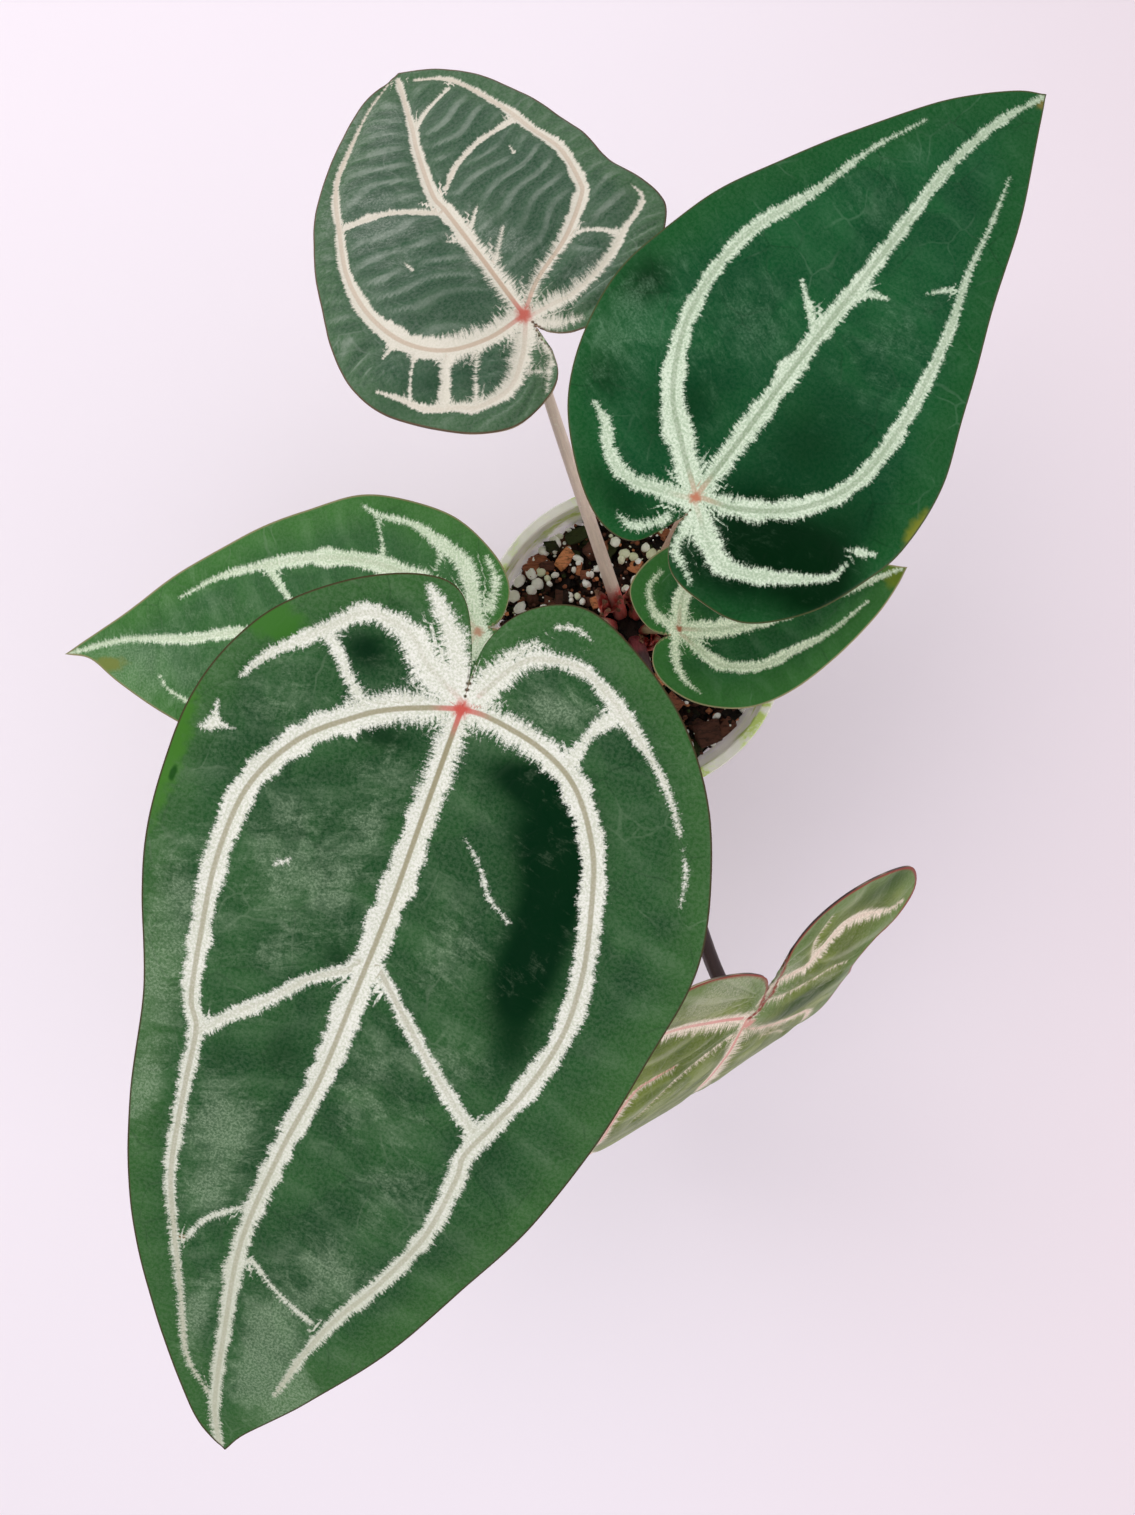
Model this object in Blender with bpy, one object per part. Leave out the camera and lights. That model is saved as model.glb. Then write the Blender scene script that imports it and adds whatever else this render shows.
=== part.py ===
"""Potted anthurium: six heart-shaped, silver-veined leaves in a clear nursery pot.

Blender 4.5. Metres, +Z up. The origin is the centre of the pot's base. Leaf sizes
are in millimetres in the leaf's own plane: the petiole joins at (0, 0), +y runs
along the midrib to the tip, and +x is the right-hand side seen from above.
"""

import math
import random

import bmesh
import bpy
from mathutils import Euler, Matrix, Vector

MM = 0.001
SEAT_GAP = 0.3

# Pot
POT_HEIGHT = 90.0
RIM_RADIUS = 50.0
RIM_ROUNDING = 0.8
LIP_WIDTH = 2.6
LIP_DEPTH = 4.0
LIP_SLOPE = 0.6
BASE_RADIUS = 36.0
FOOT_RADIUS = 33.5
FOOT_HEIGHT = 2.5
POT_WALL = 1.2
POT_FLOOR = 1.6
POT_SIDES = 48
DRAIN_COUNT = 6
DRAIN_RADIUS = 3.5
DRAIN_RING = 22.0

# Potting mix
MIX_LEVEL = 76.0
MIX_MOUND = 2.0
MIX_SIDES = 40
MIX_RINGS = (36, 26, 17)
GRAIN_COUNT = 68
GRAIN_SIZE = (1.8, 3.8)
GRAIN_PROUD = 0.15
GRAIN_REACH = 1.45
MIX_SEED = 11

# Crown, where every petiole starts. Its feet and joints end in short straight lengths
CROWN_X = -1.0
CROWN_Y = 5.0
STEM_RADIUS = 8.4
STEM_TOP = 80.0
STEM_FOOT = 60.0
STEM_SIDES = 24
SCAR_SPACING = 4.5
SCAR_HEIGHT = 1.5
SCAR_DEPTH = 0.5
COLLAR_WIDTH = 3.0
COLLAR_FOOT = 73.0
FEET_RING = 5.4
FOOT_LENGTH = 1.0
JOINT_GAP = 0.35

# Leaf blades. Rows crowd towards the joint, where the two lobes meet
BLADE_THICKNESS = 0.8
ROW_CROWDING = 1.6
FOLD_ROUNDING = 3.0

LEAVES = {
    "front": {
        "joint": (-45, -27, 200),
        "turn": (162, -4, 0),
        "midrib": [(0, -3), (1, 25), (3, 58), (7, 98), (13, 128), (12, 155), (7, 188), (2, 198)],
        "right": [
            (0, -3), (2, -14), (8, -25), (18, -26), (34, -19), (49, -6), (58, 13), (61, 34),
            (58, 62), (51, 86), (48, 112), (40, 142), (28, 166), (14, 188), (6, 196), (2, 198),
        ],
        "left": [
            (0, -3), (-1, -16), (-8, -26), (-20, -30), (-34, -24), (-49, -12), (-61, 6), (-68, 28),
            (-69, 48), (-64, 72), (-58, 98), (-46, 126), (-30, 155), (-14, 177), (-2, 191), (2, 198),
        ],
        "half_width": 65, "reach": 70, "tip_bend": 0.12, "lobe_bend": 0.10,
        "fold": 0.12, "curl": 6, "ripple": 1.2, "ripples": 5, "phases": (0, 2),
        "rows": 26, "columns": 6,
    },
    "right": {
        "joint": (9, 23, 190),
        "turn": (-41, -3, 0),
        "midrib": [(1, -3), (-1, 24), (-4, 60), (-7, 100), (-5, 124), (-1, 138)],
        "right": [
            (1, -3), (2, -11), (7, -17), (16, -18), (28, -15), (38, -3), (43, 11), (45, 24),
            (42, 42), (34, 61), (25, 81), (15, 106), (5, 126), (-1, 138),
        ],
        "left": [
            (1, -3), (-1, -11), (-5, -18), (-14, -19), (-26, -13), (-38, -2), (-46, 14), (-49, 33),
            (-46, 54), (-39, 75), (-29, 97), (-19, 117), (-8, 132), (-1, 138),
        ],
        "half_width": 48, "reach": 60, "tip_bend": 0.10, "lobe_bend": 0.08,
        "fold": 0.10, "curl": 4, "ripple": 1.0, "ripples": 4, "phases": (1, 3),
        "rows": 24, "columns": 5,
    },
    "back": {
        "joint": (-32, 74, 170),
        "turn": (26, -13, 0),
        "midrib": [(1, -3), (-3, 23), (-6, 44), (-4, 64), (2, 91)],
        "right": [
            (1, -3), (4, -8), (10, -11), (20, -11), (33, -5), (43, 6), (45, 15), (39, 29),
            (36, 43), (30, 59), (22, 74), (12, 85), (2, 91),
        ],
        "left": [
            (1, -3), (1, -8), (2, -13), (0, -20), (-7, -25), (-16, -27), (-27, -23), (-38, -14),
            (-46, -3), (-48, 11), (-45, 30), (-41, 45), (-34, 60), (-22, 75), (-10, 86), (2, 91),
        ],
        "half_width": 46, "reach": 40, "tip_bend": 0.16, "lobe_bend": 0.10,
        "fold": 0.10, "curl": 4, "ripple": 1.5, "ripples": 5, "phases": (0, 2),
        "rows": 22, "columns": 5,
    },
    "left": {
        "joint": (-45, -4, 150),
        "turn": (92, -8, 0),
        "midrib": [(1, -3), (2, 35), (4, 76), (4, 107), (1, 128)],
        "right": [
            (1, -3), (4, -7), (12, -9), (21, -5), (31, 5), (37, 19), (39, 33), (36, 50),
            (30, 69), (22, 88), (12, 106), (4, 122), (1, 128),
        ],
        "left": [
            (1, -3), (-2, -8), (-10, -11), (-21, -8), (-31, 3), (-37, 19), (-38, 38), (-34, 58),
            (-27, 78), (-18, 95), (-8, 110), (-1, 119), (1, 128),
        ],
        "half_width": 38, "reach": 50, "tip_bend": 0.14, "lobe_bend": 0.08,
        "fold": 0.10, "curl": 3, "ripple": 1.0, "ripples": 4, "phases": (2, 0),
        "rows": 22, "columns": 5,
    },
    "small": {
        "joint": (11, -1, 130),
        "turn": (-75, -4, 0),
        "midrib": [(1, -3), (3, 12), (3, 29), (1, 53), (-1, 72)],
        "right": [
            (1, -3), (3, -8), (9, -10), (16, -7), (23, 1), (27, 13), (26, 26), (20, 42),
            (11, 58), (4, 67), (-1, 72),
        ],
        "left": [
            (1, -3), (-2, -8), (-9, -11), (-16, -10), (-22, -2), (-25, 10), (-24, 24), (-19, 38),
            (-11, 52), (-5, 62), (-1, 72),
        ],
        "half_width": 27, "reach": 40, "tip_bend": 0.12, "lobe_bend": 0.05,
        "fold": 0.10, "curl": 3, "ripple": 0.8, "ripples": 3, "phases": (0, 2),
        "rows": 18, "columns": 4,
    },
    "young": {
        "joint": (28, -110, 150),
        "turn": (178, -44, -36),
        "midrib": [(0, -3), (1, 40), (2, 85), (0, 130)],
        "right": [
            (0, -3), (-4, -6), (-7, -12), (-6, -20), (1, -27), (13, -32), (25, -36), (38, -36),
            (50, -28), (57, -12), (59, 8), (55, 36), (45, 62), (31, 88), (15, 113), (0, 130),
        ],
        "left": [
            (0, -3), (-8, -8), (-11, -16), (-12, -25), (-17, -31), (-26, -35), (-37, -35), (-49, -31),
            (-58, -25), (-60, -17), (-54, -9), (-46, -3), (-42, 6), (-46, 18), (-46, 34), (-41, 54),
            (-33, 76), (-22, 100), (-8, 120), (0, 130),
        ],
        "half_width": 58, "reach": 60, "tip_bend": 0.65, "lobe_bend": -0.12,
        "fold": -0.06, "curl": -2, "ripple": 2.0, "ripples": 2.5, "phases": (0, 2),
        "rows": 26, "columns": 6,
    },
}

# Petioles: bearing of the foot round the crown, radius at the foot and at the blade,
# and how far the curve keeps its first and last direction
PETIOLES = {
    "front": {"bearing": 235, "foot": 2.5, "top": 1.9, "rise": 45, "run_in": 30, "lean": 0.10},
    "right": {"bearing": 62, "foot": 2.4, "top": 1.7, "rise": 27, "run_in": 29, "lean": 1.3},
    "back": {"bearing": 119, "foot": 2.4, "top": 1.3, "rise": 30, "run_in": 32, "lean": 0.30},
    "left": {"bearing": 177, "foot": 2.3, "top": 1.5, "rise": 28, "run_in": 20, "lean": 0.20},
    "small": {"bearing": 350, "foot": 1.8, "top": 1.2, "rise": 20, "run_in": 12, "lean": 0.10},
    "young": {"bearing": 296, "foot": 2.5, "top": 2.1, "rise": 30, "run_in": 30, "lean": 0.30},
}
PETIOLE_POINTS = 14
JOINT_LENGTH = 7.0
JOINT_SWELL = 0.28

# Red papery sheaths round the crown: bearing, half width, height and outward lean
SHEATHS = {
    "long": {"bearing": 145, "half_angle": 17, "height": 29, "lean": 9},
    "back": {"bearing": 85, "half_angle": 14, "height": 15, "lean": 4},
    "right": {"bearing": 26, "half_angle": 18, "height": 21, "lean": 6},
    "front": {"bearing": 325, "half_angle": 17, "height": 18, "lean": 5},
    "low": {"bearing": 264, "half_angle": 14, "height": 14, "lean": 5},
}
SHEATH_THICKNESS = 0.7
SHEATH_ROWS = 8
SHEATH_COLUMNS = 6
SHEATH_TIP = 0.12
SHEATH_WAVE = 0.5


def clear_scene():
    for obj in list(bpy.data.objects):
        bpy.data.objects.remove(obj, do_unlink=True)


def material(name, colour, roughness, transmission=0.0):
    made = bpy.data.materials.new(name)
    made.use_nodes = True
    shader = made.node_tree.nodes["Principled BSDF"]
    shader.inputs["Base Color"].default_value = (*colour, 1.0)
    shader.inputs["Roughness"].default_value = roughness
    shader.inputs["Transmission Weight"].default_value = transmission
    made.diffuse_color = (*colour, 1.0)
    return made


def new_object(name, data, finish):
    obj = bpy.data.objects.new(name, data)
    bpy.context.scene.collection.objects.link(obj)
    data.materials.append(finish)
    return obj


def object_from_bmesh(name, bm, finish, smooth_angle=None):
    mesh = bpy.data.meshes.new(name)
    bm.to_mesh(mesh)
    bm.free()
    if smooth_angle is not None:
        mesh.shade_smooth()
        mesh.set_sharp_from_angle(angle=math.radians(smooth_angle))
    return new_object(name, mesh, finish)


def apply_modifiers(obj):
    """Replace the object's mesh by its evaluated one."""
    graph = bpy.context.evaluated_depsgraph_get()
    mesh = bpy.data.meshes.new_from_object(obj.evaluated_get(graph))
    obj.modifiers.clear()
    obj.data = mesh


def boolean(obj, operation, helpers):
    """Join or cut with a list of helper objects, then remove them."""
    group = bpy.data.collections.new("helpers")
    for helper in helpers:
        bpy.context.scene.collection.objects.unlink(helper)
        group.objects.link(helper)
    change = obj.modifiers.new(operation.title(), "BOOLEAN")
    change.operation = operation
    change.solver = "EXACT"
    change.operand_type = "COLLECTION"
    change.collection = group
    bpy.context.scene.collection.children.link(group)
    apply_modifiers(obj)
    for helper in helpers:
        bpy.data.objects.remove(helper, do_unlink=True)
    bpy.data.collections.remove(group)


def turned(name, profile, sides, finish, smooth_angle=30):
    """Solid turned about Z from (radius, height) points that start and end on the axis."""
    bm = bmesh.new()
    rings = []
    for radius, height in profile:
        if radius == 0:
            rings.append([bm.verts.new((0, 0, height * MM))])
            continue
        ring = []
        for k in range(sides):
            angle = 2 * math.pi * k / sides
            ring.append(bm.verts.new((
                radius * MM * math.cos(angle), radius * MM * math.sin(angle), height * MM)))
        rings.append(ring)
    for lower, upper in zip(rings, rings[1:]):
        for k in range(sides):
            after = (k + 1) % sides
            if len(lower) == 1:
                bm.faces.new((lower[0], upper[after], upper[k]))
            elif len(upper) == 1:
                bm.faces.new((lower[k], lower[after], upper[0]))
            else:
                bm.faces.new((lower[k], lower[after], upper[after], upper[k]))
    return object_from_bmesh(name, bm, finish, smooth_angle)


def cylinder(radius, bottom, top, x=0.0, y=0.0, sides=32):
    """Helper cylinder for cutting, in millimetres."""
    bm = bmesh.new()
    bmesh.ops.create_cone(
        bm, cap_ends=True, segments=sides, radius1=radius * MM, radius2=radius * MM,
        depth=(top - bottom) * MM,
        matrix=Matrix.Translation((x * MM, y * MM, (bottom + top) / 2 * MM)))
    return object_from_bmesh("cutter", bm, bpy.data.materials["cutter"])


def inner_radius(height):
    """Radius of the pot's inner wall at a height."""
    share = (height - FOOT_HEIGHT) / (POT_HEIGHT - LIP_DEPTH - FOOT_HEIGHT)
    outer = BASE_RADIUS + (RIM_RADIUS - LIP_WIDTH - BASE_RADIUS) * share
    return outer - POT_WALL


def make_pot():
    shoulder = RIM_RADIUS - LIP_WIDTH
    rim_inside = inner_radius(POT_HEIGHT)
    profile = [
        (0, 0), (FOOT_RADIUS, 0), (BASE_RADIUS, FOOT_HEIGHT),
        (shoulder, POT_HEIGHT - LIP_DEPTH),
        (RIM_RADIUS, POT_HEIGHT - LIP_DEPTH + LIP_SLOPE),
        (RIM_RADIUS, POT_HEIGHT - RIM_ROUNDING), (RIM_RADIUS - RIM_ROUNDING, POT_HEIGHT),
        (rim_inside + RIM_ROUNDING / 2, POT_HEIGHT), (rim_inside, POT_HEIGHT - RIM_ROUNDING / 2),
        (inner_radius(FOOT_HEIGHT), FOOT_HEIGHT), (FOOT_RADIUS - POT_WALL, POT_FLOOR), (0, POT_FLOOR),
    ]
    clear_plastic = material("pot_clear_plastic", (0.86, 0.88, 0.83), 0.25, 0.8)
    pot = turned("pot", profile, POT_SIDES, clear_plastic)
    cutters = []
    for k in range(DRAIN_COUNT):
        angle = 2 * math.pi * k / DRAIN_COUNT
        cutters.append(cylinder(
            DRAIN_RADIUS, -1, POT_FLOOR + 1,
            DRAIN_RING * math.cos(angle), DRAIN_RING * math.sin(angle), sides=16))
    boolean(pot, "DIFFERENCE", cutters)
    return pot


def grain(radius, x, y, z, draw):
    """One rough lump of bark or perlite."""
    bm = bmesh.new()
    bmesh.ops.create_icosphere(bm, subdivisions=1, radius=radius * MM)
    stretch = Matrix.Diagonal((draw.uniform(0.8, 1.3), draw.uniform(0.8, 1.2), draw.uniform(0.7, 1.0), 1))
    turn = Euler([draw.uniform(0, math.tau) for _ in range(3)]).to_matrix().to_4x4()
    place = Matrix.Translation((x * MM, y * MM, z * MM))
    bmesh.ops.transform(bm, verts=bm.verts, matrix=place @ turn @ stretch)
    return object_from_bmesh("grain", bm, bpy.data.materials["cutter"])


def mix_height(radius):
    """Top of the potting mix: a low mound that drops towards the wall."""
    return MIX_LEVEL + MIX_MOUND * (1 - (radius / inner_radius(MIX_LEVEL)) ** 2)


def make_mix():
    """Potting mix with lumps on top and a stepped hole for the stem and its sheaths."""
    edge = inner_radius(MIX_LEVEL) - SEAT_GAP
    bottom = POT_FLOOR + SEAT_GAP
    profile = [
        (0, bottom), (FOOT_RADIUS - POT_WALL - SEAT_GAP, bottom),
        (inner_radius(FOOT_HEIGHT) - SEAT_GAP, FOOT_HEIGHT + SEAT_GAP),
        (edge, MIX_LEVEL),
    ]
    for radius in MIX_RINGS:
        profile.append((radius, mix_height(radius)))
    profile.append((0, mix_height(0)))
    bark = material("bark_and_perlite", (0.16, 0.10, 0.07), 0.9)
    mix = turned("potting_mix", profile, MIX_SIDES, bark)
    draw = random.Random(MIX_SEED)
    golden_angle = math.pi * (3 - math.sqrt(5))
    grains = []
    for k in range(GRAIN_COUNT):
        size = draw.uniform(*GRAIN_SIZE)
        ring = (edge - GRAIN_REACH * size) * math.sqrt((k + 0.5) / GRAIN_COUNT)
        angle = k * golden_angle + draw.uniform(-0.2, 0.2)
        grains.append(grain(size, ring * math.cos(angle), ring * math.sin(angle),
                            mix_height(ring) + GRAIN_PROUD * size, draw))
    boolean(mix, "UNION", grains)
    stem_hole = cylinder(STEM_RADIUS + SEAT_GAP, STEM_FOOT - SEAT_GAP, POT_HEIGHT, CROWN_X, CROWN_Y)
    collar_hole = cylinder(STEM_RADIUS + COLLAR_WIDTH, COLLAR_FOOT, POT_HEIGHT, CROWN_X, CROWN_Y)
    boolean(mix, "DIFFERENCE", [stem_hole, collar_hole])
    return mix


def make_stem():
    """Short thick stem with leaf scars as low rings."""
    profile = [(0, STEM_FOOT), (STEM_RADIUS - 1.5, STEM_FOOT), (STEM_RADIUS - 0.4, STEM_FOOT + 2)]
    height = STEM_FOOT + SCAR_SPACING
    while height < STEM_TOP - 2 * SCAR_HEIGHT:
        profile.append((STEM_RADIUS, height))
        profile.append((STEM_RADIUS - SCAR_DEPTH, height + SCAR_HEIGHT))
        height += SCAR_SPACING
    profile.append((STEM_RADIUS, STEM_TOP - 1.0))
    profile.append((STEM_RADIUS - 1.0, STEM_TOP))
    profile.append((0, STEM_TOP))
    stem = turned("stem", profile, STEM_SIDES, material("stem_green_brown", (0.24, 0.22, 0.10), 0.7))
    stem.data.transform(Matrix.Translation((CROWN_X * MM, CROWN_Y * MM, 0)))
    return stem


def smooth_curve(points, count, crowding=1.0):
    """count + 1 points at even lengths along a smooth curve through the given points."""
    points = [Vector(point) for point in points]
    padded = [2 * points[0] - points[1], *points, 2 * points[-1] - points[-2]]
    dense = []
    steps = 16
    for before, start, end, after in zip(padded, padded[1:], padded[2:], padded[3:]):
        for k in range(steps):
            t = k / steps
            dense.append(0.5 * (
                2 * start + (end - before) * t
                + (2 * before - 5 * start + 4 * end - after) * t * t
                + (3 * start - before - 3 * end + after) * t ** 3))
    dense.append(points[-1])
    lengths = [0.0]
    for a, b in zip(dense, dense[1:]):
        lengths.append(lengths[-1] + (b - a).length)
    samples = []
    k = 0
    for step in range(count + 1):
        wanted = lengths[-1] * (step / count) ** crowding
        while k < len(dense) - 2 and lengths[k + 1] < wanted:
            k += 1
        share = (wanted - lengths[k]) / (lengths[k + 1] - lengths[k])
        samples.append(dense[k].lerp(dense[k + 1], min(max(share, 0.0), 1.0)))
    return samples


def midrib_offset(y, leaf):
    """Sideways place of the midrib at y."""
    points = leaf["midrib"]
    if y <= points[0][1]:
        return points[0][0]
    for (x0, y0), (x1, y1) in zip(points, points[1:]):
        if y <= y1:
            return x0 + (x1 - x0) * (y - y0) / (y1 - y0)
    return points[-1][0]


def blade_height(x, y, leaf):
    """Height of the blade's middle surface over its plane: bend, fold, curl and ripple."""
    across = x - midrib_offset(y, leaf)
    side = abs(across) / leaf["half_width"]
    bend = leaf["tip_bend"] if y > 0 else leaf["lobe_bend"]
    reach = leaf["reach"]
    phase = leaf["phases"][0] if across > 0 else leaf["phases"][1]
    length = leaf["midrib"][-1][1]
    height = -bend * reach * (math.sqrt(1 + (y / reach) ** 2) - 1)
    height += leaf["fold"] * (math.sqrt(across ** 2 + FOLD_ROUNDING ** 2) - FOLD_ROUNDING)
    height -= leaf["curl"] * side ** 2
    height += leaf["ripple"] * side ** 2 * math.sin(2 * math.pi * leaf["ripples"] * y / length + phase)
    return height


def leaf_turn(leaf):
    """Rotation of the leaf's plane: roll, then pitch, then yaw."""
    yaw, pitch, roll = (math.radians(angle) for angle in leaf["turn"])
    return Matrix.Rotation(yaw, 3, "Z") @ Matrix.Rotation(pitch, 3, "X") @ Matrix.Rotation(roll, 3, "Y")


def blade_point(x, y, leaf, turn):
    return (turn @ Vector((x, y, blade_height(x, y, leaf))) + Vector(leaf["joint"])) * MM


def make_leaf(name, leaf):
    """Blade as rows of triangles from the midrib out to both margins, then thickened."""
    rows = leaf["rows"]
    columns = leaf["columns"]
    turn = leaf_turn(leaf)
    midrib = smooth_curve(leaf["midrib"], rows, ROW_CROWDING)
    right = smooth_curve(leaf["right"], rows)
    left = smooth_curve(leaf["left"], rows)
    bm = bmesh.new()
    grid = []
    for row in range(rows + 1):
        if row in (0, rows):
            grid.append([bm.verts.new(blade_point(*midrib[row], leaf, turn))] * (2 * columns + 1))
            continue
        line = []
        for column in range(-columns, columns + 1):
            margin = right[row] if column > 0 else left[row]
            spot = midrib[row].lerp(margin, abs(column) / columns)
            line.append(bm.verts.new(blade_point(*spot, leaf, turn)))
        grid.append(line)
    for near, far in zip(grid, grid[1:]):
        for a, b, c, d in zip(near, near[1:], far[1:], far):
            for corners in ((a, b, c), (a, c, d)):
                if len(set(corners)) == 3:
                    bm.faces.new(corners)
    green = material("leaf_" + name, (0.05, 0.16, 0.05), 0.5)
    blade = object_from_bmesh("leaf_" + name, bm, green, 60)
    thicken(blade, BLADE_THICKNESS)
    return blade


def thicken(obj, thickness):
    wall = obj.modifiers.new("Thickness", "SOLIDIFY")
    wall.thickness = thickness * MM
    wall.offset = 0.0


def petiole_route(leaf, petiole):
    """Points from the stem's top to just under the blade, along its normal there."""
    bearing = math.radians(petiole["bearing"])
    outward = Vector((math.cos(bearing), math.sin(bearing), 0))
    up = Vector((0, 0, 1))
    normal = leaf_turn(leaf) @ up
    foot = Vector((CROWN_X, CROWN_Y, STEM_TOP + SEAT_GAP)) + outward * FEET_RING
    top = Vector(leaf["joint"]) - normal * (BLADE_THICKNESS / 2 + JOINT_GAP)
    start = foot + up * FOOT_LENGTH
    end = top - normal * FOOT_LENGTH
    first = start + (up + outward * petiole["lean"]) * petiole["rise"]
    last = end - normal * petiole["run_in"]
    route = [foot]
    for k in range(PETIOLE_POINTS + 1):
        t = k / PETIOLE_POINTS
        route.append(start * (1 - t) ** 3 + first * 3 * t * (1 - t) ** 2
                     + last * 3 * t * t * (1 - t) + end * t ** 3)
    route.append(top)
    return route


def make_petiole(name, leaf, petiole):
    """Round leaf stalk that tapers upwards and swells at the joint under the blade."""
    route = petiole_route(leaf, petiole)
    curve = bpy.data.curves.new("petiole_" + name, "CURVE")
    curve.dimensions = "3D"
    curve.bevel_depth = MM
    curve.bevel_resolution = 2
    curve.use_fill_caps = True
    spline = curve.splines.new("POLY")
    spline.points.add(len(route) - 1)
    for k, (place, point) in enumerate(zip(route, spline.points)):
        to_joint = (route[-1] - place).length
        radius = petiole["foot"] + (petiole["top"] - petiole["foot"]) * k / (len(route) - 1)
        radius *= 1 + JOINT_SWELL * math.exp(-(to_joint / JOINT_LENGTH) ** 2)
        point.co = (*(place * MM), 1.0)
        point.radius = radius
    stalk = material("petiole_" + name, (0.36, 0.24, 0.18), 0.45)
    return new_object("petiole_" + name, curve, stalk)


def make_sheath(name, sheath):
    """Curved papery scale that stands beside the stem and leans outwards."""
    bm = bmesh.new()
    grid = []
    middle = math.radians(sheath["bearing"])
    for row in range(SHEATH_ROWS + 1):
        t = row / SHEATH_ROWS
        width = math.radians(sheath["half_angle"]) * max(SHEATH_TIP, (1 - t ** 2.2) ** 0.8)
        radius = STEM_RADIUS + SEAT_GAP + SHEATH_THICKNESS / 2 + sheath["lean"] * t ** 1.8
        width *= STEM_RADIUS / radius + 0.25 * t
        height = COLLAR_FOOT + SEAT_GAP + sheath["height"] * t
        line = []
        for column in range(SHEATH_COLUMNS + 1):
            share = 2 * column / SHEATH_COLUMNS - 1
            angle = middle + width * share
            out = radius + SHEATH_WAVE * t * math.sin(5 * share + 3 * t)
            line.append(bm.verts.new((
                (CROWN_X + out * math.cos(angle)) * MM,
                (CROWN_Y + out * math.sin(angle)) * MM,
                height * MM)))
        grid.append(line)
    for near, far in zip(grid, grid[1:]):
        for a, b, c, d in zip(near, near[1:], far[1:], far):
            bm.faces.new((a, b, c))
            bm.faces.new((a, c, d))
    red = material("sheath_" + name, (0.40, 0.07, 0.06), 0.6)
    scale = object_from_bmesh("sheath_" + name, bm, red, 60)
    thicken(scale, SHEATH_THICKNESS)
    return scale


def main():
    clear_scene()
    material("cutter", (0.5, 0.5, 0.5), 0.5)
    make_pot()
    make_mix()
    make_stem()
    for name, leaf in LEAVES.items():
        make_leaf(name, leaf)
        make_petiole(name, leaf, PETIOLES[name])
    for name, sheath in SHEATHS.items():
        make_sheath(name, sheath)


main()
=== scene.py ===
"""Potted anthurium from straight above: silver-veined leaves, stalks, crown, bark mix and clear pot."""
import math
import random

import bpy
import numpy as np
from mathutils import Euler, Matrix, Vector, noise


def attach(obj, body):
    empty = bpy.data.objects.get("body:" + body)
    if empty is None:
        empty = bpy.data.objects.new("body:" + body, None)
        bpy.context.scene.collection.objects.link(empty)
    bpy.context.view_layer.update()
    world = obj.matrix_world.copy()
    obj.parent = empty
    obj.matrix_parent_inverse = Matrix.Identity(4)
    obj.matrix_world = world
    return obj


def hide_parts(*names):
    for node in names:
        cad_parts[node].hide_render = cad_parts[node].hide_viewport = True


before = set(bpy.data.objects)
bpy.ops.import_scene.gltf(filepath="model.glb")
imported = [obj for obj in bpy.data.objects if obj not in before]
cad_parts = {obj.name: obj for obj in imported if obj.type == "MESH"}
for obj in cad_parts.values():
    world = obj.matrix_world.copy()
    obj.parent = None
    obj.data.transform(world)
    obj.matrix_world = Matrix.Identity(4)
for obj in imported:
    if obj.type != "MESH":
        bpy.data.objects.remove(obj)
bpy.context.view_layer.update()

MM = 0.001
SEAT_GAP = 0.3

# Camera: a phone with a wide lens, held level over the plant
CAMERA_PLACE = (-0.021, -0.038, 0.457)
SENSOR_HEIGHT = 36.0
LENS = 27.0

# Pot
POT_HEIGHT = 90.0
RIM_RADIUS = 50.0
RIM_ROUNDING = 0.8
LIP_WIDTH = 2.6
LIP_DEPTH = 4.0
LIP_SLOPE = 0.6
LIP_ROUNDING = 0.25
BASE_RADIUS = 36.0
FOOT_RADIUS = 33.5
FOOT_HEIGHT = 2.5
FOOT_BEVEL = 0.6
POT_WALL = 1.2
POT_FLOOR = 1.6
DRAIN_COUNT = 6
DRAIN_RADIUS = 3.5
DRAIN_RING = 22.0

# Potting mix
MIX_LEVEL = 76.0
MIX_MOUND = 2.0
MIX_SPREAD = 46.0
BARK_COUNT = 420
CRUMB_COUNT = 1300
PERLITE_COUNT = 420
WALL_GRAIN_COUNT = 620
PERLITE_AT_WALL = 0.16
WALL_GAP = 0.4

# Crown
CROWN_X = -1.0
CROWN_Y = 5.0
STEM_RADIUS = 8.4
STEM_TOP = 80.0
STEM_FOOT = 60.0
COLLAR_FOOT = 73.0
FEET_RING = 5.4
FOOT_LENGTH = 1.0
JOINT_GAP = 0.35

# Leaf blades: flat sizes in mm, joint at (0, 0), tip along +y, right-hand side +x
BLADE_THICKNESS = 0.8
FINE_THICKNESS = 0.55
ROW_CROWDING = 1.6
FOLD_ROUNDING = 3.0
UV_UNIT = 0.01

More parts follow.
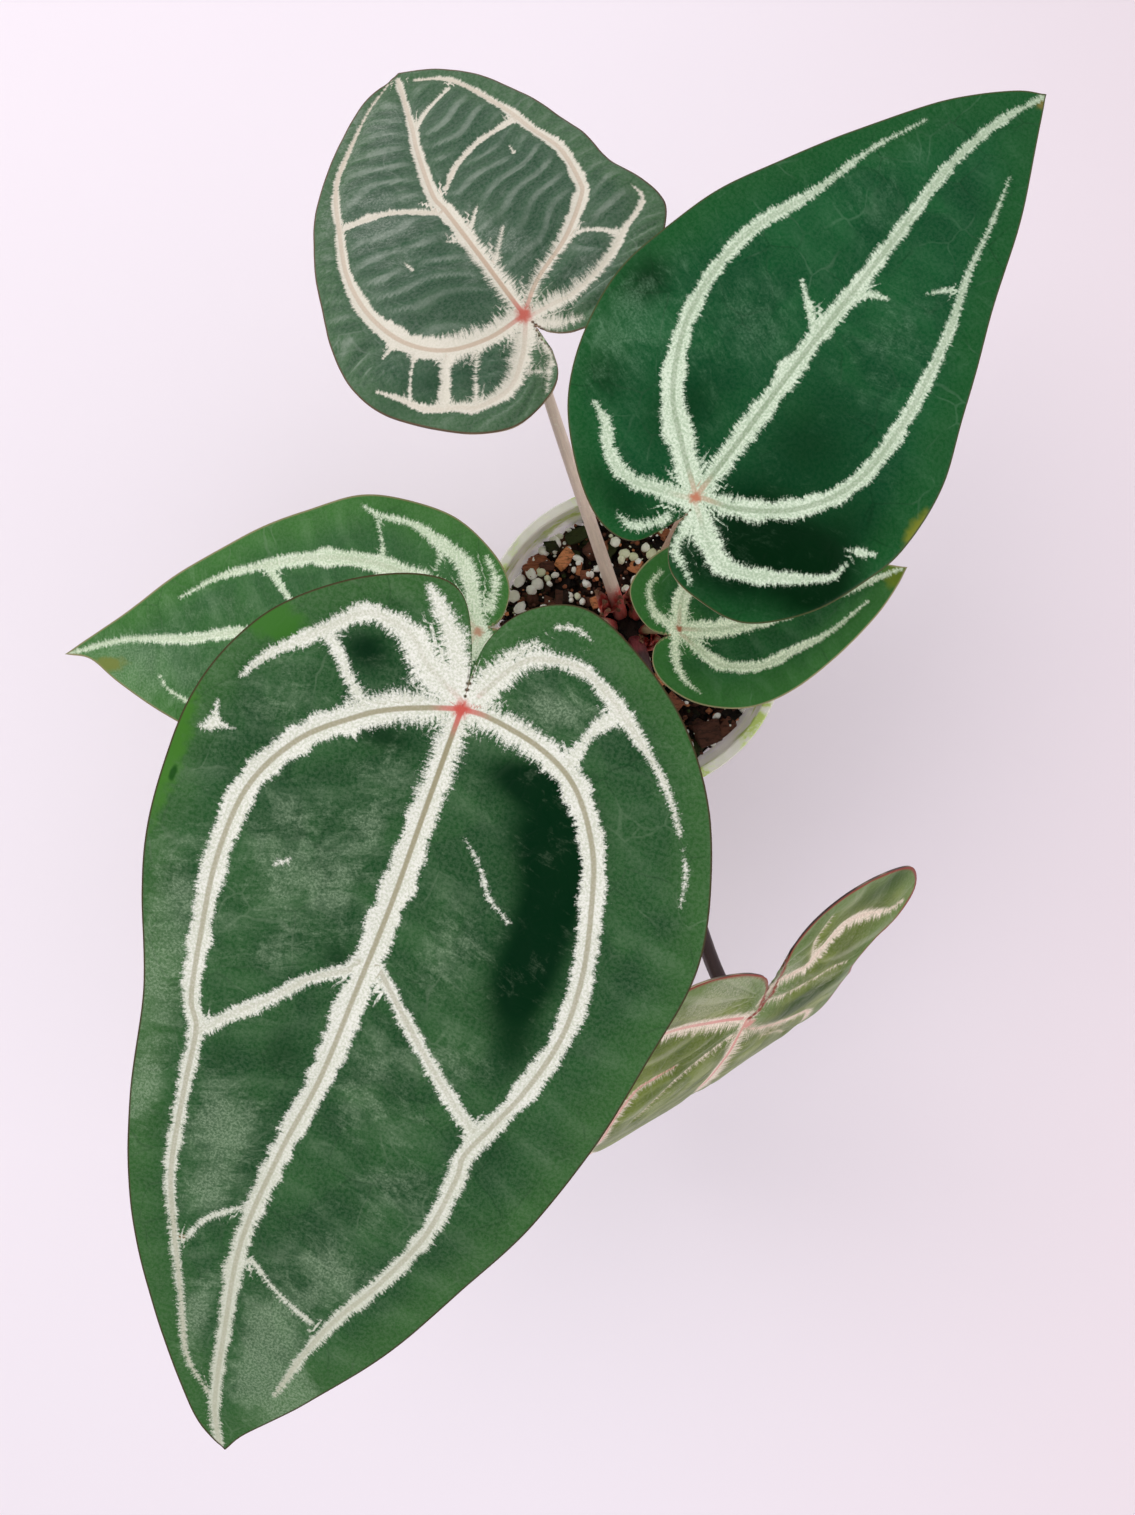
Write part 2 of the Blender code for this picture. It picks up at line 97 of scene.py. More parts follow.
LEAVES = {
    "front": {
        "joint": (-45, -27, 200), "turn": (162, -4, 0),
        "midrib": [(0, -3), (1, 25), (3, 58), (7, 98), (13, 128), (12, 155), (7, 188), (2, 198)],
        "right": [
            (0, -3), (2, -14), (8, -25), (18, -26), (34, -19), (49, -6), (58, 13), (61, 34),
            (58, 62), (51, 86), (48, 112), (40, 142), (28, 166), (14, 188), (6, 196), (2, 198),
        ],
        "left": [
            (0, -3), (-1, -16), (-8, -26), (-20, -30), (-34, -24), (-49, -12), (-61, 6), (-68, 28),
            (-69, 48), (-64, 72), (-58, 98), (-46, 126), (-30, 155), (-14, 177), (-2, 191), (2, 198),
        ],
        "half_width": 65, "reach": 70, "tip_bend": 0.12, "lobe_bend": 0.10,
        "fold": 0.12, "curl": 6, "ripple": 1.2, "ripples": 5, "phases": (0, 2),
        "rows": 200, "columns": 54, "groove": 0.45, "pillow": 0.7,
        "rib_spacing": 15, "rib_depth": 0.25, "rib_slants": (0.3, 0.3),
    },
    "right": {
        "joint": (9, 23, 190), "turn": (-41, -3, 0),
        "midrib": [(1, -3), (-1, 24), (-4, 60), (-7, 100), (-5, 124), (-1, 138)],
        "right": [
            (1, -3), (2, -11), (7, -17), (16, -18), (28, -15), (38, -3), (43, 11), (45, 24),
            (42, 42), (34, 61), (25, 81), (15, 106), (5, 126), (-1, 138),
        ],
        "left": [
            (1, -3), (-1, -11), (-5, -18), (-14, -19), (-26, -13), (-38, -2), (-46, 14), (-49, 33),
            (-46, 54), (-39, 75), (-29, 97), (-19, 117), (-8, 132), (-1, 138),
        ],
        "half_width": 48, "reach": 60, "tip_bend": 0.10, "lobe_bend": 0.08,
        "fold": 0.10, "curl": 4, "ripple": 1.0, "ripples": 4, "phases": (1, 3),
        "rows": 150, "columns": 40, "groove": 0.25, "pillow": 0.4,
        "rib_spacing": 13, "rib_depth": 0.12, "rib_slants": (0.3, 0.3),
    },
    "back": {
        "joint": (-32, 74, 170), "turn": (26, -13, 0),
        "midrib": [(1, -3), (-3, 23), (-6, 44), (-4, 64), (2, 91)],
        "right": [
            (1, -3), (4, -8), (10, -11), (20, -11), (33, -5), (43, 6), (45, 15), (39, 29),
            (36, 43), (30, 59), (22, 74), (12, 85), (2, 91),
        ],
        "left": [
            (1, -3), (1, -8), (2, -13), (0, -20), (-7, -25), (-16, -27), (-27, -23), (-38, -14),
            (-46, -3), (-48, 11), (-45, 30), (-41, 45), (-34, 60), (-22, 75), (-10, 86), (2, 91),
        ],
        "half_width": 46, "reach": 40, "tip_bend": 0.16, "lobe_bend": 0.10,
        "fold": 0.10, "curl": 4, "ripple": 0.5, "ripples": 5, "phases": (0, 2),
        "rows": 140, "columns": 44, "groove": 0.6, "pillow": 0.8,
        "rib_spacing": 6.5, "rib_depth": 0.7, "rib_slants": (0.28, 0.38),
    },
    "left": {
        "joint": (-45, -4, 150), "turn": (92, -8, 0),
        "midrib": [(1, -3), (2, 35), (4, 76), (4, 107), (1, 128)],
        "right": [
            (1, -3), (4, -7), (12, -9), (21, -5), (31, 5), (37, 19), (39, 33), (36, 50),
            (30, 69), (22, 88), (12, 106), (4, 122), (1, 128),
        ],
        "left": [
            (1, -3), (-2, -8), (-10, -11), (-21, -8), (-31, 3), (-37, 19), (-38, 38), (-34, 58),
            (-27, 78), (-18, 95), (-8, 110), (-1, 119), (1, 128),
        ],
        "half_width": 38, "reach": 50, "tip_bend": 0.14, "lobe_bend": 0.08,
        "fold": 0.10, "curl": 3, "ripple": 1.0, "ripples": 4, "phases": (2, 0),
        "rows": 130, "columns": 34, "groove": 0.30, "pillow": 0.4,
        "rib_spacing": 12, "rib_depth": 0.15, "rib_slants": (0.3, 0.3),
    },
    "small": {
        "joint": (11, -1, 130), "turn": (-75, -4, 0),
        "midrib": [(1, -3), (3, 12), (3, 29), (1, 53), (-1, 72)],
        "right": [
            (1, -3), (3, -8), (9, -10), (16, -7), (23, 1), (27, 13), (26, 26), (20, 42),
            (11, 58), (4, 67), (-1, 72),
        ],
        "left": [
            (1, -3), (-2, -8), (-9, -11), (-16, -10), (-22, -2), (-25, 10), (-24, 24), (-19, 38),
            (-11, 52), (-5, 62), (-1, 72),
        ],
        "half_width": 27, "reach": 40, "tip_bend": 0.12, "lobe_bend": 0.05,
        "fold": 0.10, "curl": 3, "ripple": 0.8, "ripples": 3, "phases": (0, 2),
        "rows": 90, "columns": 28, "groove": 0.30, "pillow": 0.3,
        "rib_spacing": 9, "rib_depth": 0.12, "rib_slants": (0.3, 0.3),
    },
    "young": {
        "joint": (28, -110, 150), "turn": (178, -44, -36),
        "midrib": [(0, -3), (1, 40), (2, 85), (0, 130)],
        "right": [
            (0, -3), (-3, -6), (-4, -12), (-2, -20), (4, -27), (14, -34), (26, -39), (38, -39),
            (50, -30), (57, -12), (59, 8), (55, 36), (45, 62), (31, 88), (15, 113), (0, 130),
        ],
        "left": [
            (0, -3), (-6, -8), (-8, -16), (-9, -25), (-14, -33), (-24, -37), (-36, -36), (-49, -31),
            (-58, -25), (-60, -17), (-54, -9), (-46, -3), (-42, 6), (-46, 18), (-46, 34), (-41, 54),
            (-33, 76), (-22, 100), (-8, 120), (0, 130),
        ],
        "half_width": 58, "reach": 60, "tip_bend": 0.65, "lobe_bend": -0.12,
        "fold": -0.06, "curl": -2, "ripple": 2.0, "ripples": 2.5, "phases": (0, 2),
        "rows": 160, "columns": 50, "groove": 0.45, "pillow": 0.6,
        "rib_spacing": 9, "rib_depth": 0.50, "rib_slants": (0.3, 0.3),
    },
}

# Silver veins of each blade: half widths along the vein, strength of its middle line, route
VEINS = {
    "front": [
        ((3.2, 3.6, 3.0, 2.4, 1.2), 1.0, [
            (0, 1), (1, 25), (2, 48), (4, 72), (6, 94), (10, 115), (13, 141), (11, 164), (8, 186),
            (4, 197)]),
        ((3.4, 3.3, 3.0, 2.6, 1.9, 1.6, 1.0, 0.5), 0.9, [
            (0, 0), (7, 2), (15, 5), (22, 9), (33, 18), (41, 32), (43, 50), (42, 69), (40, 84),
            (37, 91),
            (36, 107), (34, 127), (30, 141), (24, 158), (18, 175), (10, 184)]),
        ((2.8, 3.0, 2.8, 2.6, 2.6, 2.0, 1.8, 0.9), 0.9, [
            (0, 0), (-7, 0), (-20, 3), (-30, 9), (-38, 21), (-42, 34), (-45, 50), (-45, 65), (-41, 80),
            (-36, 92), (-32, 101), (-32, 107), (-29, 124), (-22, 140), (-15, 152), (-10, 164),
            (-6, 178)]),
        ((1.6, 1.6, 1.8), 0.3, [(4, 60), (7, 66), (15, 71), (22, 78), (30, 85), (36, 91)]),
        ((1.5, 1.8, 1.7, 2.2), 0.5, [(1, 63), (-4, 68), (-15, 79), (-27, 90), (-32, 94)]),
        ((0.6, 0.8), 0.0, [(13, 131), (18, 134), (23, 138), (26, 144)]),
        ((0.7, 0.6, 0.9), 0.0, [(9, 145), (2, 150), (-4, 153), (-9, 155)]),
        ((4.0, 3.6, 2.2, 1.8, 1.5, 0.4), 0.2, [
            (1, -2), (10, -7), (15, -12), (21, -14), (27, -14), (34, -8), (42, -1), (46, 3), (49, 8)]),
        ((0.1, 0.7, 1.3, 1.0, 0.1), 0.0, [(52.5, 15), (52.5, 17), (52, 19.5), (53, 21), (55.5, 22)]),
        ((1.0, 0.6, 0.1), 0.0, [(52, 19.5), (50, 20), (47.5, 20)]),
        ((1.5, 1.2, 1.8), 0.0, [(34, -7), (30, -4), (27, 0), (23, 4), (21, 6)]),
        ((3.6, 3.2, 2.8, 1.9, 0.7), 0.0, [(2, -4), (3.5, -9), (7, -15), (11, -20), (15, -24)]),
        ((1.5, 2.2, 1.5), 0.0, [(6, 0), (14, 2.5), (22, 6)]),
        ((3.6, 2.6, 1.6, 1.7, 1.9, 1.3, 0.8, 0.4), 0.3, [
            (-3, -4), (-8, -12), (-13, -16), (-22, -17), (-31, -13), (-40, -6), (-48, 1), (-52, 6),
            (-56, 12)]),
        ((0.3, 0.5, 0.2), 0.0, [(-58, 16), (-60, 20), (-61, 27)]),
        ((2.0, 1.4, 2.0), 0.0, [(-34, -9), (-30, -5), (-28, 1), (-27, 4)]),
        ((2.6, 1.7, 0.5), 0.0, [(-2, -5), (-4, -10), (-8, -16), (-12, -20)]),
        ((0.4, 0.6, 0.3), 0.0, [(-15, -24), (-19, -25), (-23, -24)]),
        ((0.1, 0.3, 0.6, 0.2), 0.0, [(-10, 28), (-15, 33), (-19, 39), (-25, 43)]),
        ((0.5, 0.3), 0.0, [(27, 45), (30, 47)]),
    ],
    "right": [
        ((2.2, 2.6, 2.5, 2.0, 1.6, 1.2, 0.8), 0.6, [
            (0, -1), (-1, 16), (-3, 42), (-5, 78), (-7, 106), (-5, 124), (-1, 137)]),
        ((2.6, 3.2, 2.4, 1.8, 1.8, 1.6, 1.0, 0.5, 0.3), 0.5, [
            (-1, 1), (-10, 7), (-20, 15), (-28, 28), (-32, 43), (-32, 58), (-27, 77), (-24, 94),
            (-19, 110)]),
        ((2.6, 2.4, 2.0, 1.8, 1.4, 1.5, 0.6), 0.2, [
            (-1, -1), (-9, -5), (-14, -7), (-18, -7), (-23, -5), (-27, -1), (-32, 1)]),
        ((1.5, 1.2, 1.0, 0.4), 0.0, [(-2, -8), (-4, -12), (-7, -15), (-11, -15)]),
        ((1.2, 0.4), 0.0, [(-6, 51), (-15, 57)]),
        ((1.9, 1.1, 0.4), 0.0, [(-4, 62), (-1, 66), (3, 68)]),
        ((0.6, 0.2), 0.0, [(13, 80), (9, 75)]),
        ((2.4, 2.6, 2.2, 2.0, 1.8, 1.5, 1.2, 0.8, 0.5, 0.3), 0.5, [
            (1, 1), (10, 5), (20, 14), (26, 27), (26, 43), (23, 59), (19, 73), (14, 86), (10, 101),
            (6, 113)]),
        ((2.6, 2.8, 2.4, 2.0, 1.6, 1.0, 0.4), 0.2, [
            (1, -1), (9, -6), (14, -8), (19, -7), (28, -1), (36, 6), (37, 11)]),
        ((0.3, 1.0, 0.3), 0.0, [(35, 14), (38, 16), (41, 18)]),
        ((1.6, 1.2, 0.8, 0.3), 0.0, [(3, -6), (4, -12), (8, -14), (12, -16)]),
    ],
    "back": [
        ((2.6, 2.4, 2.2, 1.8, 1.4, 0.9), 0.9, [
            (0, 0), (-1, 7), (-3, 23), (-5, 39), (-6, 46), (-4, 62), (-2, 71), (1, 89)]),
        ((3.2, 3.4, 3.0, 2.0, 1.5, 1.2, 0.8, 0.5, 0.4), 0.7, [
            (0, 0), (-11, -2), (-22, 0), (-30, 7), (-35, 18), (-36, 32), (-33, 46), (-28, 62),
            (-21, 71),
            (-11, 82), (-2, 89)]),
        ((1.3, 1.0, 1.2), 0.2, [(-6, 39), (-16, 45), (-22, 47), (-31, 48)]),
        ((1.6, 1.6, 1.8, 2.0, 1.6, 1.5, 1.3, 1.0, 0.8, 0.6), 0.7, [
            (0, 0), (7, 7), (18, 14), (27, 23), (29, 28), (29, 40), (25, 52), (22, 61), (17, 73),
            (12, 81),
            (5, 86)]),
        ((1.2, 0.9, 1.2), 0.2, [(-2, 46), (2, 50), (7, 53), (13, 55), (22, 56)]),
        ((0.9, 0.6, 0.8), 0.0, [(-1, 70), (3, 73), (7, 75), (12, 77)]),
        ((2.4, 2.2, 1.6, 1.6, 1.4, 1.0, 0.8, 0.4), 0.2, [
            (1, -1), (8, -1), (14, -1), (25, 3), (33, 9), (40, 14), (41, 17), (40, 20)]),
        ((0.8, 0.7, 0.9), 0.0, [(20, 14), (23, 14), (27, 12), (30, 9)]),
        ((2.2, 1.6, 0.8), 0.0, [(2, -4), (8, -7), (12, -8)]),
        ((3.0, 3.2, 2.8, 2.0, 1.7, 1.5, 1.2, 0.8, 0.4), 0.3, [
            (0, -1), (-5, -10), (-12, -17), (-21, -18), (-25, -16), (-33, -12), (-38, -6), (-42, -2)]),
        ((1.9, 1.3, 1.8), 0.0, [(-22, -1), (-25, -7), (-28, -13)]),
        ((0.8, 0.4, 0.9), 0.0, [(-15, -4), (-18, -10), (-21, -17)]),
        ((0.9, 0.3, 0.7), 0.0, [(-29, 3), (-33, -3), (-36, -9)]),
        ((1.3, 1.0, 0.8, 0.4), 0.0, [(1, -8), (1, -14), (-1, -17), (-4, -22)]),
        ((0.8, 0.7), 0.0, [(-6, -15), (-1, -17)]),
        ((0.5, 0.2), 0.0, [(18, 46), (18, 49)]),
        ((0.5, 0.2), 0.0, [(-20, 26), (-21, 29)]),
        ((0.8, 0.3), 0.0, [(-33, 8), (-37, 6)]),
        ((1.2, 0.2), 0.0, [(0, 18), (6, 26)]),
        ((1.0, 0.2), 0.0, [(-2, 30), (3, 36)]),
        ((0.9, 0.2), 0.0, [(-5, 28), (-9, 30)]),
    ],
    "left": [
        ((2.2, 2.0, 1.6, 1.3, 0.5), 0.4, [(0, 0), (2, 35), (4, 68), (3, 86), (4, 107), (1, 127)]),
        ((2.2, 2.4, 2.4, 2.4, 1.6, 1.0, 0.4), 0.4, [
            (1, 1), (12, 10), (17, 20), (21, 31), (23, 45), (22, 60), (20, 75), (15, 88)]),
        ((1.4, 0.8), 0.0, [(20, 59), (12, 54)]),
        ((2.4, 2.2, 2.4, 2.0, 1.2, 0.8, 0.3), 0.0, [
            (1, 0), (9, 1), (18, 3), (23, 8), (30, 17), (33, 26), (36, 31)]),
        ((0.4, 0.5, 0.8), 0.0, [(32, 27), (26, 26), (21, 26)]),
        ((0.8, 0.3), 0.0, [(22, 9), (18, 11)]),
        ((1.4, 1.2, 0.9, 0.4), 0.0, [(6, -3), (11, -5), (15, -5), (20, -3)]),
        ((2.2, 2.4, 2.2, 2.0, 1.6, 1.2, 0.7, 0.3), 0.4, [
            (-1, 1), (-12, 9), (-18, 19), (-23, 31), (-25, 45), (-23, 62), (-19, 78), (-12, 92),
            (-7, 96)]),
        ((2.4, 2.0, 1.6, 1.0, 0.4), 0.0, [(-2, -1), (-10, -1), (-18, 2), (-25, 9), (-30, 18),
        (-33, 27)]),
    ],
    "small": [
        ((2.6, 2.8, 2.2, 1.4, 0.5), 0.4, [(0, 0), (3, 12), (3, 29), (1, 53), (-1, 70)]),
        ((1.6, 1.8, 1.6, 1.4, 1.0, 0.6, 0.3), 0.4, [
            (1, 0), (7, 4), (13, 9), (16, 18), (16, 24), (14, 33), (12, 43), (6, 57)]),
        ((1.5, 1.3, 1.1, 0.6, 0.3), 0.0, [(1, -1), (7, -3), (11, -3), (15, -2), (19, 1)]),
        ((1.5, 1.3, 1.0, 0.5), 0.0, [(-1, -1), (-5, -5), (-8, -6), (-14, -5), (-17, -1)]),
        ((2.2, 2.2, 1.6, 1.4, 1.0, 0.6, 0.3), 0.4, [
            (0, 0), (-8, 3), (-14, 9), (-17, 19), (-16, 32), (-12, 44), (-8, 54)]),
    ],
    "young": [
        ((2.2, 2.8, 3.2, 2.6, 2.0, 1.2, 0.5), 1.0, [
            (1, -3), (3, 4), (4, 10), (6, 24), (5, 50), (3, 90), (0, 128)]),
        ((2.6, 2.6, 2.4, 2.2, 1.8, 1.2, 0.5), 1.0, [
            (3, -5), (9, -9), (16, -13), (23, -17), (30, -20), (40, -22), (52, -17)]),
        ((0.6, 1.5, 1.6, 1.8, 1.6, 1.2, 0.8, 0.4), 0.8, [
            (25, 0), (31, 0), (38, 1), (46, 12), (46, 32), (37, 62), (24, 90), (9, 114)]),
        ((1.0, 0.6, 0.5, 0.3), 0.0, [(6, 1), (16, 4), (26, 9), (36, 18)]),
        ((1.4, 1.6, 1.6, 1.6, 1.4, 1.1, 0.8, 0.4), 0.3, [
            (0, 2), (-5, 7), (-20, 19), (-36, 33), (-38, 50), (-32, 72), (-19, 96), (-6, 116)]),
        ((1.8, 2.0, 1.8, 2.4, 2.6, 2.6, 2.2, 1.2, 0.5), 0.2, [
            (-3, -8), (-7, -13), (-13, -12), (-19, -11), (-24, -15), (-31, -20), (-40, -18),
            (-49, -14), (-55, -14)]),
        ((1.0, 0.7, 0.3), 0.0, [(-21, -13), (-20, -22), (-24, -30)]),
        # Painted highlight along the fold of the blade, drawn as a pale vein band
        ((0.9, 0.7, 0.6, 0.5, 0.3), 0.0, [(-4, -7), (-13, -3), (-24, -1), (-32, -1), (-38, 1)]),
        ((0.6, 0.4, 0.3), 0.0, [(-8, 14), (-20, 27), (-30, 42)]),
    ],
}

# How each blade is coloured: linear RGB of the greens, the veins, the joint and the rim, the painted
# sheen (its colour also draws the pale net lines), and the surface with its painted sheen and rib shade
LOOKS = {
    "front": {
        "darkest": (0.0, 0.017, 0.0045), "deep": (0.010, 0.056, 0.016), "fresh": (0.024, 0.095, 0.026),
        "edge": (0.032, 0.110, 0.026), "sheen_and_pale_net": (0.30, 0.40, 0.26),
        "silver": (0.84, 0.83, 0.76), "silver_dark": (0.50, 0.53, 0.40), "line": (0.27, 0.23, 0.12),
        "joint": (0.56, 0.10, 0.08), "blush": 0.028, "rim": (0.060, 0.045, 0.020), "rim_width": 0.006,
        "underside": (0.20, 0.32, 0.14), "sheen_grain": 0.10, "sheen_strength": 0.60, "gloss": 0.36,
        "ribs": 0.10, "fray": 1.1, "feather": 2.0, "grain": 2.4,
    },
    "right": {
        "darkest": (0.0005, 0.014, 0.003), "deep": (0.003, 0.056, 0.017), "fresh": (0.009, 0.092, 0.026),
        "edge": (0.008, 0.080, 0.018), "sheen_and_pale_net": (0.20, 0.36, 0.22),
        "silver": (0.70, 0.79, 0.63), "silver_dark": (0.30, 0.42, 0.26), "line": (0.13, 0.19, 0.09),
        "joint": (0.50, 0.20, 0.12), "blush": 0.020, "rim": (0.070, 0.080, 0.030), "rim_width": 0.005,
        "underside": (0.18, 0.30, 0.12), "sheen_grain": 0.06, "sheen_strength": 0.38, "gloss": 0.32,
        "ribs": 0.05, "fray": 1.0, "feather": 1.5, "grain": 2.2,
    },
    "back": {
        "darkest": (0.014, 0.052, 0.024), "deep": (0.038, 0.092, 0.050), "fresh": (0.070, 0.132, 0.076),
        "edge": (0.060, 0.130, 0.060), "sheen_and_pale_net": (0.46, 0.50, 0.44),
        "silver": (0.76, 0.71, 0.62), "silver_dark": (0.64, 0.61, 0.50), "line": (0.46, 0.30, 0.20),
        "joint": (0.52, 0.13, 0.10), "blush": 0.032, "rim": (0.14, 0.09, 0.06), "rim_width": 0.006,
        "underside": (0.24, 0.34, 0.18), "sheen_grain": 0.10, "sheen_strength": 0.40, "gloss": 0.36,
        "ribs": 0.52, "fray": 0.7, "feather": 3.2, "grain": 1.4,
    },
    "left": {
        "darkest": (0.010, 0.050, 0.012), "deep": (0.026, 0.105, 0.030), "fresh": (0.045, 0.150, 0.040),
        "edge": (0.044, 0.160, 0.030), "sheen_and_pale_net": (0.32, 0.46, 0.28),
        "silver": (0.82, 0.88, 0.72), "silver_dark": (0.38, 0.52, 0.30), "line": (0.46, 0.48, 0.34),
        "joint": (0.52, 0.30, 0.20), "blush": 0.020, "rim": (0.26, 0.24, 0.12), "rim_width": 0.007,
        "underside": (0.20, 0.32, 0.14), "sheen_grain": 0.08, "sheen_strength": 0.42, "gloss": 0.36,
        "ribs": 0.16, "fray": 1.1, "feather": 1.6, "grain": 2.0,
    },
    "small": {
        "darkest": (0.002, 0.022, 0.006), "deep": (0.008, 0.062, 0.016), "fresh": (0.018, 0.100, 0.026),
        "edge": (0.034, 0.140, 0.028), "sheen_and_pale_net": (0.26, 0.40, 0.26),
        "silver": (0.80, 0.86, 0.66), "silver_dark": (0.26, 0.40, 0.20), "line": (0.24, 0.30, 0.16),
        "joint": (0.34, 0.13, 0.07), "blush": 0.014, "rim": (0.34, 0.30, 0.16), "rim_width": 0.006,
        "underside": (0.20, 0.32, 0.14), "sheen_grain": 0.05, "sheen_strength": 0.25, "gloss": 0.36,
        "ribs": 0.12, "fray": 0.9, "feather": 1.5, "grain": 2.0,
    },
    "young": {
        "darkest": (0.026, 0.060, 0.008), "deep": (0.085, 0.125, 0.012), "fresh": (0.190, 0.240, 0.040),
        "edge": (0.120, 0.190, 0.050), "sheen_and_pale_net": (0.56, 0.54, 0.42),
        "silver": (0.86, 0.74, 0.62), "silver_dark": (0.50, 0.42, 0.30), "line": (0.66, 0.27, 0.25),
        "joint": (0.62, 0.30, 0.25), "blush": 0.026, "rim": (0.24, 0.05, 0.035), "rim_width": 0.014,
        "underside": (0.30, 0.26, 0.18), "sheen_grain": 0.08, "sheen_strength": 0.45, "gloss": 0.34,
        "ribs": 0.30, "fray": 2.0, "feather": 1.6, "grain": 1.2,
    },
}

# Painted shade (darker patches) and painted sheen (silvery patches) on the blades: middle, size in mm,
# strength
SHADES = {
    "front": [
        ((-20, 11), (11, 5), 1.0), ((-28, 22), (10, 9), 1.0), ((-33, 38), (8, 14), 1.2),
        ((-32, 56), (8, 11), 0.9), ((-35, 72), (6, 9), 0.5), ((15, 11), (9, 4), 0.6),
        ((24, -6), (7, 5), 0.8),
        ((10, 64), (5, 5), 0.5), ((16, 90), (6, 8), 0.4), ((30, 95), (4, 8), 0.3),
        ((-36, 96), (8, 10), 0.3),
    ],
    "right": [
        ((12, 26), (16, 20), 0.5), ((22, 3), (20, 9), 1.0), ((-16, 14), (9, 14), 0.5),
        ((14, -10), (14, 8), 0.7),
        ((34, 12), (10, 20), 0.5), ((-13, -12), (12, 6), 0.5), ((-42, 32), (6, 8), 0.6),
        ((-34, 8), (8, 8), 0.4),
    ],
    "back": [((-14, 12), (16, 10), 0.3), ((10, 22), (10, 14), 0.3), ((-30, -8), (20, 8), 0.5)],
    "young": [((-22, 7), (16, 6), 0.9), ((-46, -27), (14, 5), 0.7), ((27, 8), (10, 8), 0.3)],
}
# Painted sheen: silvery patches where the blades mirror the window light
PAINTED_SHEEN = {
    "front": [
        ((-14, 54), (9, 9), 0.6), ((-20, 80), (9, 8), 0.5), ((12, 30), (6, 16), 0.6),
        ((28, 45), (8, 18), 0.7),
        ((15, 52), (8, 10), 0.6), ((22, 68), (8, 6), 0.3), ((49, 75), (9, 34), 0.8),
        ((24, 112), (8, 10), 1.2),
        ((24, 130), (7, 7), 1.0), ((-4, 90), (5, 12), 0.6), ((-12, 96), (8, 4), 0.5),
        ((-19, 112), (12, 12), 0.4),
        ((-10, 140), (10, 10), 0.8), ((0, 160), (8, 10), 1.2), ((0, 175), (6, 8), 1.2),
        ((18, 162), (4, 12), 1.0),
        ((45, 110), (4, 10), 0.7), ((-10, 178), (6, 9), 1.8), ((-20, -7), (9, 5), 0.9),
        ((38, 8), (12, 8), 0.4),
    ],
    "right": [
        ((-39, 20), (9, 18), 0.7), ((-18, 40), (12, 16), 0.4), ((12, 60), (10, 14), 0.5),
        ((-16, 92), (9, 20), 0.3),
    ],
    "back": [
        ((-24, 46), (14, 22), 0.7), ((2, 22), (10, 16), 0.5), ((-10, 76), (14, 10), 0.6),
        ((26, 4), (12, 10), 0.5),
    ],
    "left": [((-6, 104), (14, 20), 1.1), ((12, 70), (10, 20), 0.3)],
    "young": [
        ((14, -27), (13, 9), 1.5), ((-9, -16), (6, 6), 1.2), ((-30, 3), (8, 4), 0.6),
        ((30, 14), (12, 8), 0.6),
    ],
}

# Marks on the blades: place and size in mm on the blade, colour
MARKS = {
    "front": [
        ((61, 26), (5, 22), (0.050, 0.170, 0.020)),
        ((46, -6), (9, 5), (0.040, 0.150, 0.020)),
        ((58, 34), (1.0, 2.2), (0.010, 0.070, 0.006)),
        ((27, 144), (1.0, 0.8), (0.160, 0.090, 0.020)),
    ],
    "right": [
        ((45, 30), (3.0, 6.0), (0.170, 0.190, 0.020)),
        ((0, 136), (2.0, 3.0), (0.170, 0.150, 0.040)),
    ],
    "left": [((-3, 114), (2.5, 8.0), (0.170, 0.210, 0.050))],
    "small": [((1, 68), (4.0, 5.0), (0.130, 0.190, 0.020))],
}

# Petioles: bearing of the foot round the crown, radius at the foot and at the blade, how far the
# curve keeps its first and last direction, and the colours at the foot, middle and joint
PETIOLES = {
    "front": {
        "bearing": 235, "foot": 2.5, "top": 1.9, "rise": 45, "run_in": 30, "lean": 0.10,
        "sheathed": 0.10, "colours": ((0.34, 0.10, 0.11), (0.34, 0.25, 0.27), (0.44, 0.24, 0.20)),
    },
    "right": {
        "bearing": 62, "foot": 2.4, "top": 1.7, "rise": 27, "run_in": 29, "lean": 1.3,
        "sheathed": 0.12, "colours": ((0.56, 0.09, 0.08), (0.62, 0.42, 0.30), (0.56, 0.24, 0.16)),
    },
    "back": {
        "bearing": 119, "foot": 2.4, "top": 1.3, "rise": 30, "run_in": 32, "lean": 0.30,
        "sheathed": 0.17, "colours": ((0.62, 0.09, 0.08), (0.86, 0.67, 0.57), (0.60, 0.34, 0.26)),
    },
    "left": {
        "bearing": 177, "foot": 2.3, "top": 1.5, "rise": 28, "run_in": 20, "lean": 0.20,
        "sheathed": 0.12, "colours": ((0.56, 0.08, 0.08), (0.66, 0.48, 0.36), (0.60, 0.36, 0.26)),
    },
    "small": {
        "bearing": 350, "foot": 1.8, "top": 1.2, "rise": 20, "run_in": 12, "lean": 0.10,
        "sheathed": 0.06, "colours": ((0.56, 0.08, 0.07), (0.40, 0.32, 0.18), (0.40, 0.20, 0.11)),
    },
    "young": {
        "bearing": 296, "foot": 2.5, "top": 2.1, "rise": 30, "run_in": 30, "lean": 0.30,
        "sheathed": 0.12, "colours": ((0.30, 0.07, 0.08), (0.075, 0.035, 0.038), (0.48, 0.22, 0.17)),
    },
}
JOINT_LENGTH = 7.0
JOINT_SWELL = 0.28
STALK_POINTS = 70
STALK_SIDES = 24
STALK_GROOVE = 0.14

# Red papery sheaths round the crown: bearing, half width, height and outward lean
SHEATHS = {
    "long": {"bearing": 140, "half_angle": 16, "height": 29, "lean": 5},
    "back": {"bearing": 85, "half_angle": 14, "height": 15, "lean": 4},
    "right": {"bearing": 26, "half_angle": 18, "height": 21, "lean": 6},
    "front": {"bearing": 325, "half_angle": 17, "height": 18, "lean": 5},
    "low": {"bearing": 264, "half_angle": 14, "height": 14, "lean": 5},
}
